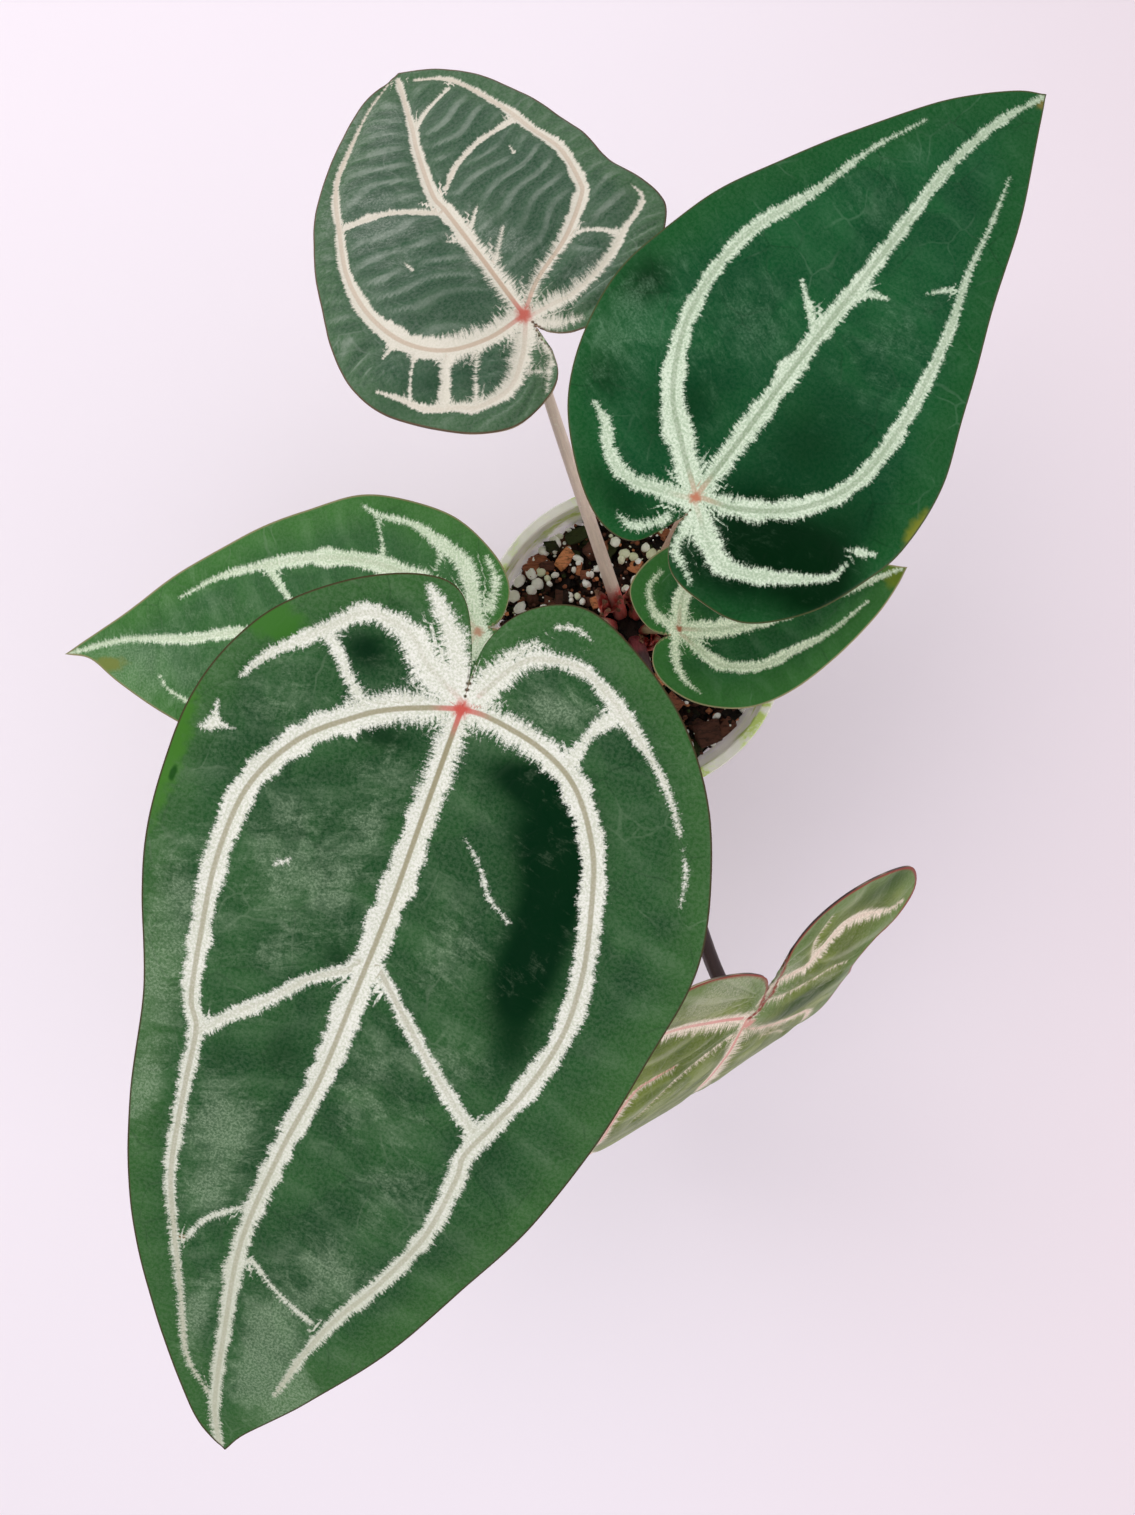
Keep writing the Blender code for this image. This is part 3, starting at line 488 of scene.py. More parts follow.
# Torn strips beside each sheath: turn from it, share of its height, lean
TORN_STRIPS = (
    (-19, 0.9, -2.4), (16, 1.0, -1.2), (-6, 0.8, -3.8), (7, 1.1, 1.2), (24, 0.8, 0.4), (-28, 0.85, -0.6),
)
STRIP_HALF_ANGLE = 13
SHEATH_THICKNESS = 0.7
PAPER_THICKNESS = 0.35
SHEATH_TIP = 0.12
SHEATH_WAVE = 0.5

# Brightness of the room, and of the ceiling as glossy leaves mirror it
ROOM_LIGHT = 0.71
CEILING_SHEEN = 0.02


def make_camera():
    data = bpy.data.cameras.new("camera")
    data.sensor_fit = "VERTICAL"
    data.sensor_height = SENSOR_HEIGHT
    data.lens = LENS
    data.clip_start = 0.01
    camera = bpy.data.objects.new("camera", data)
    camera.location = CAMERA_PLACE
    bpy.context.scene.collection.objects.link(camera)
    bpy.context.scene.camera = camera


# Node helpers

def put(tree, kind, inputs=None, **settings):
    """Add a node, set its options, and set or link its inputs."""
    made = tree.nodes.new(kind)
    for name, value in settings.items():
        setattr(made, name, value)
    for key, value in (inputs or {}).items():
        if isinstance(value, bpy.types.NodeSocket):
            tree.links.new(value, made.inputs[key])
        else:
            made.inputs[key].default_value = value
    return made


def calc(tree, operation, a, b=0.0, c=0.0):
    """Value of a Math node."""
    return put(tree, "ShaderNodeMath", {0: a, 1: b, 2: c}, operation=operation).outputs[0]


def vector_calc(tree, operation, a, b=(0.0, 0.0, 0.0), scale=None):
    inputs = {0: a, 1: b}
    if scale is not None:
        inputs["Scale"] = scale
    made = put(tree, "ShaderNodeVectorMath", inputs, operation=operation)
    return made.outputs["Value"] if operation in ("LENGTH", "DISTANCE") else made.outputs["Vector"]


def blend_colour(tree, share, first, second, mode="MIX"):
    made = put(tree, "ShaderNodeMix", data_type="RGBA", blend_type=mode, clamp_factor=True)
    for socket, value in ((made.inputs[0], share), (made.inputs[6], first), (made.inputs[7], second)):
        if isinstance(value, bpy.types.NodeSocket):
            tree.links.new(value, socket)
        elif isinstance(value, (int, float)):
            socket.default_value = value
        else:
            socket.default_value = (*value, 1.0)
    return made.outputs[2]


def fade(tree, value, low, high, start=0.0, end=1.0):
    """Smooth change from start to end while the value goes from low to high."""
    return put(tree, "ShaderNodeMapRange", {
        "Value": value, "From Min": low, "From Max": high, "To Min": start, "To Max": end,
    }, interpolation_type="SMOOTHSTEP").outputs["Result"]


def grain(tree, place, scale, detail=2.0, roughness=0.5, distortion=0.0):
    return put(tree, "ShaderNodeTexNoise", {
        "Vector": place, "Scale": scale, "Detail": detail, "Roughness": roughness,
        "Distortion": distortion,
    }).outputs["Fac"]


def cells(tree, place, scale, feature="DISTANCE_TO_EDGE"):
    return put(tree, "ShaderNodeTexVoronoi", {"Vector": place, "Scale": scale}, feature=feature)


def new_group(name, inputs, outputs):
    """Empty shader node group with the given sockets."""
    group = bpy.data.node_groups.new(name, "ShaderNodeTree")
    for label, kind in inputs:
        group.interface.new_socket(name=label, in_out="INPUT", socket_type="NodeSocket" + kind)
    for label, kind in outputs:
        group.interface.new_socket(name=label, in_out="OUTPUT", socket_type="NodeSocket" + kind)
    start = group.nodes.new("NodeGroupInput")
    end = group.nodes.new("NodeGroupOutput")
    return group, start.outputs, end.inputs


def new_material(name):
    made = bpy.data.materials.new(name)
    made.use_nodes = True
    tree = made.node_tree
    return made, tree, tree.nodes["Principled BSDF"]


def dress(tree, shader, colour, roughness, height=None, strength=0.0, depth=0.0):
    """Set the surface's colour and roughness, and its fine relief where a height is given."""
    tree.links.new(colour, shader.inputs["Base Color"])
    if isinstance(roughness, bpy.types.NodeSocket):
        tree.links.new(roughness, shader.inputs["Roughness"])
    else:
        shader.inputs["Roughness"].default_value = roughness
    if height is not None:
        bump = put(tree, "ShaderNodeBump", {"Height": height, "Strength": strength, "Distance": depth})
        tree.links.new(bump.outputs["Normal"], shader.inputs["Normal"])


def object_place(tree):
    return put(tree, "ShaderNodeTexCoord").outputs["Object"]


def vein_band_group():
    """Where the silver band lies, from each point's nearest place on a vein, with a feathered edge."""
    group, given, out = new_group("vein_band", [
        ("Place", "Vector"), ("Foot", "Vector"), ("Reach", "Float"), ("Half", "Float"), ("Fray", "Float"),
        ("Grain", "Float"),
    ], [("Band", "Float"), ("Line", "Float"), ("Sparkle", "Float")])
    straight = vector_calc(group, "DISTANCE", given["Place"], given["Foot"])
    safe = calc(group, "SUBTRACT", given["Reach"], 0.012)
    distance = calc(group, "MAXIMUM", straight, safe)
    swell = calc(group, "MULTIPLY_ADD", grain(group, given["Foot"], 18.0, 2.0), 1.0, 0.10)
    swell = calc(group, "MULTIPLY_ADD", grain(group, given["Place"], 11.0, 2.0, 0.6, 0.3), 0.9, swell)
    barb_place = vector_calc(group, "ADD", given["Foot"],
                             vector_calc(group, "SCALE", given["Place"], scale=0.15))
    barbs = calc(group, "SUBTRACT", grain(group, barb_place, 120.0, 3.0, 0.7), 0.5)
    width = calc(group, "ADD", calc(group, "MULTIPLY", given["Half"], swell),
                 calc(group, "MULTIPLY", barbs, calc(group, "MULTIPLY", given["Fray"], 3.0)))
    inside = calc(group, "DIVIDE", calc(group, "SUBTRACT", width, distance), given["Fray"])
    specks = calc(group, "SUBTRACT", grain(group, given["Place"], 180.0, 2.0, 0.7), 0.5)
    specks = calc(group, "MULTIPLY", specks, given["Grain"])
    group.links.new(fade(group, calc(group, "ADD", inside, specks), -0.45, 0.65), out["Band"])
    group.links.new(fade(group, distance, 0.0085, 0.0040), out["Line"])
    fine = grain(group, given["Place"], 165.0, 2.0, 0.6)
    shine = calc(group, "MULTIPLY_ADD", grain(group, given["Place"], 10.0, 2.0), 0.25, fine)
    shine = calc(group, "MULTIPLY_ADD", fade(group, distance, 0.0, 0.03), 0.05, shine)
    group.links.new(fade(group, shine, 0.50, 0.80, 0.35, 1.0), out["Sparkle"])
    return group


def blade_net_group():
    """Fine net of small veins: dark lines, the height between them, and a tone for each cell."""
    group, given, out = new_group("blade_net", [("Place", "Vector")], [
        ("Lines", "Float"), ("Height", "Float"), ("Tone", "Float"), ("Streaks", "Float")])
    wander = put(group, "ShaderNodeTexNoise", {"Vector": given["Place"], "Scale": 9.0}).outputs["Color"]
    warped = vector_calc(group, "ADD", given["Place"],
                         vector_calc(group, "SCALE", wander, scale=0.05))
    large = cells(group, warped, 9.0).outputs["Distance"]
    small = cells(group, warped, 30.0).outputs["Distance"]
    group.links.new(fade(group, large, 0.030, 0.006), out["Lines"])
    pillows = calc(group, "ADD", calc(group, "MULTIPLY", fade(group, large, 0.0, 0.16), 0.7),
                   calc(group, "MULTIPLY", fade(group, small, 0.0, 0.18), 0.3))
    group.links.new(pillows, out["Height"])
    tone = put(group, "ShaderNodeTexVoronoi", {
        "Vector": warped, "Scale": 9.0, "Smoothness": 0.35}, feature="SMOOTH_F1").outputs["Color"]
    tone = put(group, "ShaderNodeSeparateColor", {"Color": tone}).outputs[0]
    group.links.new(tone, out["Tone"])
    # Streaks and blotches that shape the painted sheen and the painted rib highlight
    flat = put(group, "ShaderNodeSeparateXYZ", {"Vector": given["Place"]})
    sideways = calc(group, "ABSOLUTE", flat.outputs[0])
    along = calc(group, "MULTIPLY_ADD", sideways, -0.3, flat.outputs[1])
    ribs = put(group, "ShaderNodeCombineXYZ", {0: calc(group, "MULTIPLY", flat.outputs[0], 0.30), 1: along})
    streaks = grain(group, ribs.outputs[0], 34.0, 6.0, 0.8, 0.8)
    blotches = grain(group, warped, 15.0, 5.0, 0.7, 0.5)
    streaks = calc(group, "MULTIPLY", calc(group, "ADD", streaks, blotches), 0.5)
    group.links.new(fade(group, streaks, 0.38, 0.62), out["Streaks"])
    return group


VEIN_BAND = vein_band_group()
BLADE_NET = blade_net_group()


def blade_inputs(tree):
    """The blade's flat place and the vein values stored on its mesh."""
    place = put(tree, "ShaderNodeUVMap", uv_map="blade").outputs["UV"]
    stored = {}
    # Besides the vein values: the margin distance, painted shade, painted sheen and painted rib shade and
    # highlight
    for name in ("vein_foot", "vein_reach", "vein_half", "vein_line", "margin", "shade", "painted_sheen", "rib"):
        attribute = put(tree, "ShaderNodeAttribute", attribute_name=name)
        stored[name] = attribute.outputs["Vector" if name == "vein_foot" else "Fac"]
    return place, stored


def blade_material(name):
    """Upper face of a blade: patchy green with painted shade and painted sheen, silver veins with feathered
    edges and a fine net.
    """
    look = LOOKS[name]
    made, tree, shader = new_material("blade_" + name)
    place, stored = blade_inputs(tree)
    vein = put(tree, "ShaderNodeGroup", {"Grain": look["grain"]}, node_tree=VEIN_BAND)
    for socket, value in (("Place", place), ("Foot", stored["vein_foot"]),
                          ("Reach", stored["vein_reach"]), ("Half", stored["vein_half"])):
        tree.links.new(value, vein.inputs[socket])
    tree.links.new(fade(tree, vector_calc(tree, "LENGTH", place), 0.34, 0.10, look["fray"] * UV_UNIT,
                        look["fray"] * look["feather"] * UV_UNIT), vein.inputs["Fray"])
    net = put(tree, "ShaderNodeGroup", {"Place": place}, node_tree=BLADE_NET)

    patches = calc(tree, "ADD", calc(tree, "MULTIPLY", net.outputs["Tone"], 0.22),
                   grain(tree, place, 4.0, 4.0, 0.6, 0.6))
    green = blend_colour(tree, fade(tree, patches, 0.40, 0.85), look["deep"], look["fresh"])
    near_edge = calc(tree, "ADD", stored["margin"], calc(tree, "MULTIPLY", grain(tree, place, 7.0), 0.10))
    green = blend_colour(tree, fade(tree, near_edge, 0.19, 0.06), green, look["edge"])
    # Painted shade: the stored shade patches, with some random mottle, darken the green
    shade_and_mottle = calc(tree, "ADD", stored["shade"], calc(tree, "MULTIPLY_ADD", patches, 0.5, -0.30))
    green = blend_colour(tree, fade(tree, shade_and_mottle, 0.0, 0.9, 0.0, 0.95), green, look["darkest"])
    # Painted shade in the rib furrows
    furrow_shade = calc(tree, "MULTIPLY", fade(tree, stored["rib"], 0.0, -0.9), look["ribs"])
    green = blend_colour(tree, furrow_shade, green, look["darkest"])
    # Painted sheen grain: fine whitish specks, weaker in painted shade, mixed in below
    sheen_grain = fade(tree, grain(tree, place, 120.0, 3.0, 0.7), 0.36, 0.62)
    # Painted highlight on the rib crests, broken up by streaks and kept out of painted shade
    crest_highlight = calc(tree, "MULTIPLY", fade(tree, stored["rib"], 0.05, 0.9),
                 fade(tree, net.outputs["Streaks"], 0.0, 0.6, 0.6, 1.0))
    crest_highlight = calc(tree, "MULTIPLY", crest_highlight, fade(tree, stored["shade"], 0.5, 0.0, 0.0, 0.7 * look["ribs"]))
    green = blend_colour(tree, crest_highlight, green, look["sheen_and_pale_net"])
    sheen_grain = calc(tree, "MULTIPLY", sheen_grain, fade(tree, stored["shade"], 0.8, 0.0, 0.0, look["sheen_grain"]))
    green = blend_colour(tree, sheen_grain, green, look["sheen_and_pale_net"])
    broken = fade(tree, grain(tree, place, 6.0, 2.0), 0.45, 0.65, 0.04, 0.26)
    green = blend_colour(tree, calc(tree, "MULTIPLY", net.outputs["Lines"], broken), green, look["darkest"])
    pale = fade(tree, grain(tree, place, 5.0, 2.0, 0.5, 1.0), 0.50, 0.66, 0.0, 0.13)
    pale = calc(tree, "MULTIPLY", pale, fade(tree, stored["shade"], 0.5, 0.0))
    green = blend_colour(tree, calc(tree, "MULTIPLY", net.outputs["Lines"], pale), green, look["sheen_and_pale_net"])
    # Painted sheen: streaks and the stored sheen patches, in fine specks, lighten the green
    sheen_mask = fade(tree, calc(tree, "MULTIPLY_ADD", net.outputs["Streaks"], 0.7, stored["painted_sheen"]), 0.45, 1.4)
    specks = fade(tree, grain(tree, place, 160.0, 3.0, 0.7), 0.38, 0.64, 0.25, 1.0)
    sheen_mask = calc(tree, "MULTIPLY", sheen_mask, specks)
    green = blend_colour(tree, calc(tree, "MULTIPLY", sheen_mask, look["sheen_strength"]), green, look["sheen_and_pale_net"])
    for (x, y), (wide, tall), colour in MARKS.get(name, []):
        offset = vector_calc(tree, "SUBTRACT", place, (x * UV_UNIT, y * UV_UNIT, 0))
        offset = vector_calc(tree, "DIVIDE", offset, (wide * UV_UNIT, tall * UV_UNIT, 1))
        reach = calc(tree, "ADD", vector_calc(tree, "LENGTH", offset),
                     calc(tree, "MULTIPLY_ADD", grain(tree, place, 40.0), 0.8, -0.4))
        green = blend_colour(tree, fade(tree, reach, 1.2, 0.5), green, colour)

    silver = blend_colour(tree, vein.outputs["Sparkle"], look["silver_dark"], look["silver"])
    from_joint = vector_calc(tree, "LENGTH", place)
    silver = blend_colour(tree, fade(tree, from_joint, 0.7, 1.9, 0.0, 0.6), silver, look["silver_dark"])
    line_colour = blend_colour(tree, fade(tree, from_joint, 0.08, 0.02), look["line"], look["joint"])
    line_share = calc(tree, "MULTIPLY", vein.outputs["Line"], stored["vein_line"])
    silver = blend_colour(tree, calc(tree, "MULTIPLY", line_share, 0.9), silver, line_colour)
    colour = blend_colour(tree, vein.outputs["Band"], green, silver)
    blush = calc(tree, "ADD", from_joint, calc(tree, "MULTIPLY_ADD", grain(tree, place, 70.0), 0.024, -0.012))
    colour = blend_colour(tree, fade(tree, blush, look["blush"], 0.25 * look["blush"]), colour, look["joint"])
    rim = fade(tree, stored["margin"], look["rim_width"], 0.3 * look["rim_width"])
    colour = blend_colour(tree, rim, colour, look["rim"])

    rough = calc(tree, "MULTIPLY_ADD", grain(tree, place, 14.0, 3.0), 0.20, look["gloss"] - 0.08)
    rough = calc(tree, "MULTIPLY_ADD", vein.outputs["Band"], 0.16, rough)
    shader.inputs["Specular IOR Level"].default_value = 0.06
    height = calc(tree, "MULTIPLY", net.outputs["Height"], calc(tree, "SUBTRACT", 1.0, vein.outputs["Band"]))
    height = calc(tree, "MULTIPLY_ADD", vein.outputs["Sparkle"],
                  calc(tree, "MULTIPLY", vein.outputs["Band"], 0.35), height)
    height = calc(tree, "MULTIPLY_ADD", line_share, -0.5, height)
    dress(tree, shader, colour, rough, height, 0.4, 0.0003)
    return made


def underside_material(name):
    """Lower face of a blade: paler and matt, with raised light veins."""
    look = LOOKS[name]
    made, tree, shader = new_material("underside_" + name)
    place, stored = blade_inputs(tree)
    vein = put(tree, "ShaderNodeGroup", {
        "Place": place, "Foot": stored["vein_foot"], "Reach": stored["vein_reach"],
        "Half": calc(tree, "MULTIPLY", stored["vein_half"], 0.45), "Fray": 0.002, "Grain": 1.0,
    }, node_tree=VEIN_BAND)
    net = put(tree, "ShaderNodeGroup", {"Place": place}, node_tree=BLADE_NET)
    dark = tuple(0.62 * value for value in look["underside"])
    green = blend_colour(tree, fade(tree, grain(tree, place, 5.0, 4.0), 0.35, 0.65), dark, look["underside"])
    pale = tuple(min(1.0, 1.7 * value + 0.06) for value in look["underside"])
    green = blend_colour(tree, calc(tree, "MULTIPLY", net.outputs["Lines"], 0.5), green, pale)
    colour = blend_colour(tree, calc(tree, "MULTIPLY", vein.outputs["Band"], 0.8), green, pale)
    from_joint = vector_calc(tree, "LENGTH", place)
    colour = blend_colour(tree, fade(tree, from_joint, 0.10, 0.02), colour, (0.42, 0.16, 0.12))
    height = calc(tree, "MULTIPLY_ADD", vein.outputs["Band"], 1.5, net.outputs["Lines"])
    dress(tree, shader, colour, 0.55, height, 0.7, 0.0005)
    return made


def margin_material():
    """Thin red-brown rim of every blade."""
    made, tree, shader = new_material("blade_margin")
    place = object_place(tree)
    tone = fade(tree, grain(tree, place, 22.0, 4.0, 0.6), 0.42, 0.58)
    dress(tree, shader, blend_colour(tree, tone, (0.045, 0.022, 0.016), (0.46, 0.36, 0.22)), 0.5)
    return made


# Blade shapes

def smooth_curve(points, count, crowding=1.0):
    """count + 1 points at even lengths along a smooth curve through the given points."""
    points = np.array(points, float)
    padded = np.vstack([2 * points[0] - points[1], points, 2 * points[-1] - points[-2]])
    t = np.linspace(0, 1, 16, endpoint=False)[:, None]
    spans = []
    for before, start, end, after in zip(padded, padded[1:], padded[2:], padded[3:]):
        spans.append(0.5 * (
            2 * start + (end - before) * t
            + (2 * before - 5 * start + 4 * end - after) * t ** 2
            + (3 * start - before - 3 * end + after) * t ** 3))
    dense = np.vstack([*spans, points[-1:]])
    lengths = np.concatenate([[0], np.cumsum(np.linalg.norm(np.diff(dense, axis=0), axis=1))])
    wanted = lengths[-1] * np.linspace(0, 1, count + 1) ** crowding
    return np.stack([np.interp(wanted, lengths, dense[:, k]) for k in range(points.shape[1])], axis=1)


def vein_samples(name):
    """Dense points along every vein of a blade, with half width and middle-line strength."""
    places, halves, lines = [], [], []
    for widths, strength, route in VEINS[name]:
        length = np.linalg.norm(np.diff(np.array(route, float), axis=0), axis=1).sum()
        count = max(4, int(length / 0.4))
        share = np.linspace(0, 1, count + 1)
        places.append(smooth_curve(route, count))
        halves.append(np.interp(share, np.linspace(0, 1, len(widths)), widths))
        lines.append(strength * (1 - 0.75 * share))
    return np.vstack(places), np.concatenate(halves), np.concatenate(lines)


def nearest_vein(spots, name):
    """For each spot on the blade: nearest vein place, its distance, half width and line strength."""
    places, halves, lines = vein_samples(name)
    chosen = np.empty(len(spots), int)
    for start in range(0, len(spots), 400):
        part = spots[start:start + 400]
        apart = np.linalg.norm(part[:, None] - places[None], axis=2)
        chosen[start:start + 400] = (apart - halves[None]).argmin(axis=1)
    foot = places[chosen]
    return foot, np.linalg.norm(spots - foot, axis=1), halves[chosen], lines[chosen]


def margin_distance(spots, outline):
    distance = np.empty(len(spots))
    for start in range(0, len(spots), 400):
        part = spots[start:start + 400]
        distance[start:start + 400] = np.linalg.norm(part[:, None] - outline[None], axis=2).min(axis=1)
    return distance


def patch_strength(spots, patches):
    """Soft oval patches on a blade, added up at each spot."""
    total = np.zeros(len(spots))
    for middle, size, strength in patches:
        offset = (spots - np.array(middle, float)) / np.array(size, float)
        total += strength * np.exp(-(offset ** 2).sum(axis=1))
    return total


def blade_height(x, y, leaf):
    """Height of the blade's middle surface over its plane: bend, fold, curl and ripple."""
    midrib = np.array(leaf["midrib"], float)
    across = x - np.interp(y, midrib[:, 1], midrib[:, 0])
    side = np.abs(across) / leaf["half_width"]
    bend = np.where(y > 0, leaf["tip_bend"], leaf["lobe_bend"])
    phase = np.where(across > 0, leaf["phases"][0], leaf["phases"][1])
    reach = leaf["reach"]
    height = -bend * reach * (np.sqrt(1 + (y / reach) ** 2) - 1)
    height += leaf["fold"] * (np.sqrt(across ** 2 + FOLD_ROUNDING ** 2) - FOLD_ROUNDING)
    height -= leaf["curl"] * side ** 2
    height += leaf["ripple"] * side ** 2 * np.sin(2 * np.pi * leaf["ripples"] * y / midrib[-1, 1] + phase)
    return height


def blade_relief(x, y, reach, half, margin, leaf):
    """Small relief on the blade: sunken veins, pillows between them and side ribs. The second
    result is painted rib shade and highlight, from -1 for painted shade in a furrow to 1 for a
    painted highlight on a crest."""
    off_vein = np.clip((reach - 0.5 * half) / 7, 0, 1)
    off_edge = np.clip(margin / 6, 0, 1)
    relief = -leaf["groove"] * np.exp(-(reach / (0.6 * half + 1.0)) ** 2)
    relief += leaf["pillow"] * np.sin(off_vein * np.pi / 2) * off_edge
    upper = y - np.where(x < 0, *leaf["rib_slants"]) * np.abs(x)
    fan = 26 * np.arctan2(np.abs(x), y + 14)
    blend = np.clip((y + 4) / 18, 0, 1)
    along = blend * upper + (1 - blend) * fan
    wobble = 1.9 * np.sin(x / 7) + 1.7 * np.sin(y / 9 + x / 11) + 0.8 * np.sin(x / 3.1 + y / 5)
    turn = np.pi * (along + wobble) / leaf["rib_spacing"]
    ribs = np.abs(np.sin(turn))
    soft = np.sin(off_vein * np.pi / 2) * off_edge ** 0.5
    tone = np.sin(turn) * np.cos(turn) * 1.6 - 1.3 * np.exp(-(ribs / 0.28) ** 2)
    return relief + leaf["rib_depth"] * (ribs - 0.6) * soft, tone * soft


def leaf_turn(leaf):
    yaw, pitch, roll = (math.radians(angle) for angle in leaf["turn"])
    return Matrix.Rotation(yaw, 3, "Z") @ Matrix.Rotation(pitch, 3, "X") @ Matrix.Rotation(roll, 3, "Y")


def finish_piece(obj, *nodes, slot):
    """The piece rides on the plant and stands for its CAD nodes, which are hidden; slot is not used."""
    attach(obj, "root")
    if nodes:
        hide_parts(*nodes)


def link_mesh(name, mesh, *materials):
    obj = bpy.data.objects.new(name, mesh)
    bpy.context.scene.collection.objects.link(obj)
    for item in materials:
        mesh.materials.append(item)
    return obj


def apply_modifiers(obj):
    bpy.ops.object.select_all(action="DESELECT")
    obj.select_set(True)
    bpy.context.view_layer.objects.active = obj
    for modifier in list(obj.modifiers):
        bpy.ops.object.modifier_apply(modifier=modifier.name)
    obj.select_set(False)


def store(mesh, name, values, kind="FLOAT"):
    attribute = mesh.attributes.new(name, kind, "POINT")
    key = "vector" if kind == "FLOAT_VECTOR" else "value"
    attribute.data.foreach_set(key, np.ascontiguousarray(values, np.float32).ravel())


def make_leaf(name, slot):
    """Blade as a fine sheet from the midrib out to both margins, with relief, then thickened."""
    leaf = LEAVES[name]
    rows, columns = leaf["rows"], leaf["columns"]
    midrib = smooth_curve(leaf["midrib"], rows, ROW_CROWDING)
    right = smooth_curve(leaf["right"], rows)
    left = smooth_curve(leaf["left"], rows)
    share = np.abs(np.arange(-columns, columns + 1)) / columns
    margin = np.where((np.arange(-columns, columns + 1) > 0)[None, :, None], right[:, None], left[:, None])
    spots = midrib[:, None] + (margin - midrib[:, None]) * share[None, :, None]
    wide = 2 * columns + 1
    inner = spots[1:rows].reshape(-1, 2)
    flat = np.vstack([midrib[:1], inner, midrib[-1:]])
    index = np.zeros((rows + 1, wide), int)
    index[1:rows] = 1 + np.arange((rows - 1) * wide).reshape(rows - 1, wide)
    index[rows] = len(flat) - 1

    foot, reach, half, line = nearest_vein(flat, name)
    edge = margin_distance(flat, np.vstack([right, left]))
    x, y = flat[:, 0], flat[:, 1]
    relief, rib_light_and_shade = blade_relief(x, y, reach, half, edge, leaf)
    height = blade_height(x, y, leaf) + relief
    turn = np.array(leaf_turn(leaf))
    points = (np.column_stack([x, y, height]) @ turn.T + np.array(leaf["joint"], float)) * MM

    faces = []
    for row in range(rows):
        for column in range(wide - 1):
            corners = [index[row, column], index[row, column + 1],
                       index[row + 1, column + 1], index[row + 1, column]]
            faces.append([int(c) for k, c in enumerate(corners) if c != corners[k - 1]])
    mesh = bpy.data.meshes.new("leaf_blade_" + name)
    mesh.from_pydata(points.tolist(), [], faces)
    uv = mesh.uv_layers.new(name="blade")
    loops = np.zeros(len(mesh.loops), np.int32)
    mesh.loops.foreach_get("vertex_index", loops)
    uv.data.foreach_set("uv", (flat[loops] * UV_UNIT).astype(np.float32).ravel())
    store(mesh, "vein_foot", np.column_stack([foot * UV_UNIT, np.zeros(len(foot))]), "FLOAT_VECTOR")
    store(mesh, "vein_reach", reach * UV_UNIT)
    store(mesh, "vein_half", half * UV_UNIT)
    store(mesh, "vein_line", line)
    store(mesh, "margin", edge * UV_UNIT)
    # Painted shade patches, painted sheen patches and painted rib shade and highlight
    store(mesh, "shade", patch_strength(flat, SHADES.get(name, [])))
    store(mesh, "painted_sheen", patch_strength(flat, PAINTED_SHEEN.get(name, [])))
    store(mesh, "rib", rib_light_and_shade)
    mesh.shade_smooth()
    blade = link_mesh("blade_" + name, mesh, blade_material(name), underside_material(name), MARGIN)
    wall = blade.modifiers.new("Thickness", "SOLIDIFY")
    wall.thickness = FINE_THICKNESS * MM
    wall.offset = 0.0
    wall.material_offset = 1
    wall.material_offset_rim = 2
    apply_modifiers(blade)
    finish_piece(blade, "leaf_" + name, slot=slot)
    return blade


# Stalks

def petiole_route(leaf, petiole, points):
    """Points from the stem's top to just under the blade, along its normal there."""
    bearing = math.radians(petiole["bearing"])
    outward = Vector((math.cos(bearing), math.sin(bearing), 0))
    up = Vector((0, 0, 1))
    normal = leaf_turn(leaf) @ up
    foot = Vector((CROWN_X, CROWN_Y, STEM_TOP + SEAT_GAP)) + outward * FEET_RING
    top = Vector(leaf["joint"]) - normal * (BLADE_THICKNESS / 2 + JOINT_GAP)
    start = foot + up * FOOT_LENGTH
    end = top - normal * FOOT_LENGTH
    first = start + (up + outward * petiole["lean"]) * petiole["rise"]
    last = end - normal * petiole["run_in"]
    route = [foot]
    for k in range(points + 1):
        t = k / points
        route.append(start * (1 - t) ** 3 + first * 3 * t * (1 - t) ** 2
                     + last * 3 * t * t * (1 - t) + end * t ** 3)
    route.append(top)
    return route


def tube(name, route, radii, sides, groove):
    """Closed tube along a route, with a shallow groove on its upper side and a stalk UV map."""
    points, faces, around_along = [], [], []
    side_way = Vector((0, 0, 1)).cross(route[-1] - route[0]).normalized()
    travelled = 0.0
    for k, (place, radius) in enumerate(zip(route, radii)):
        ahead = (route[min(k + 1, len(route) - 1)] - route[max(k - 1, 0)]).normalized()
        side_way = (side_way - ahead * side_way.dot(ahead)).normalized()
        over = ahead.cross(side_way)
        if k:
            travelled += (place - route[k - 1]).length
        for j in range(sides):
            angle = 2 * math.pi * j / sides
            turn = (angle - math.pi / 2 + math.pi) % (2 * math.pi) - math.pi
            r = radius * (1 - groove * math.exp(-(turn / 0.4) ** 2))
            points.append((place + side_way * r * math.cos(angle) + over * r * math.sin(angle)) * MM)
            around_along.append((j / sides, travelled * UV_UNIT))
    for k in range(len(route) - 1):
        for j in range(sides):
            a, b = k * sides + j, k * sides + (j + 1) % sides
            faces.append((a, b, b + sides, a + sides))
    faces.append(tuple(range(sides - 1, -1, -1)))
    last = (len(route) - 1) * sides
    faces.append(tuple(range(last, last + sides)))
    mesh = bpy.data.meshes.new(name)
    mesh.from_pydata([tuple(p) for p in points], [], faces)
    uv = mesh.uv_layers.new(name="stalk")
    for polygon in mesh.polygons:
        for loop in polygon.loop_indices:
            u, v = around_along[mesh.loops[loop].vertex_index]
            wraps = polygon.vertices[0] % sides == sides - 1 and u == 0 and len(polygon.vertices) == 4
            uv.data[loop].uv = (1.0 if wraps else u, v)
    mesh.shade_smooth()
    mesh.set_sharp_from_angle(angle=math.radians(50))
    return mesh


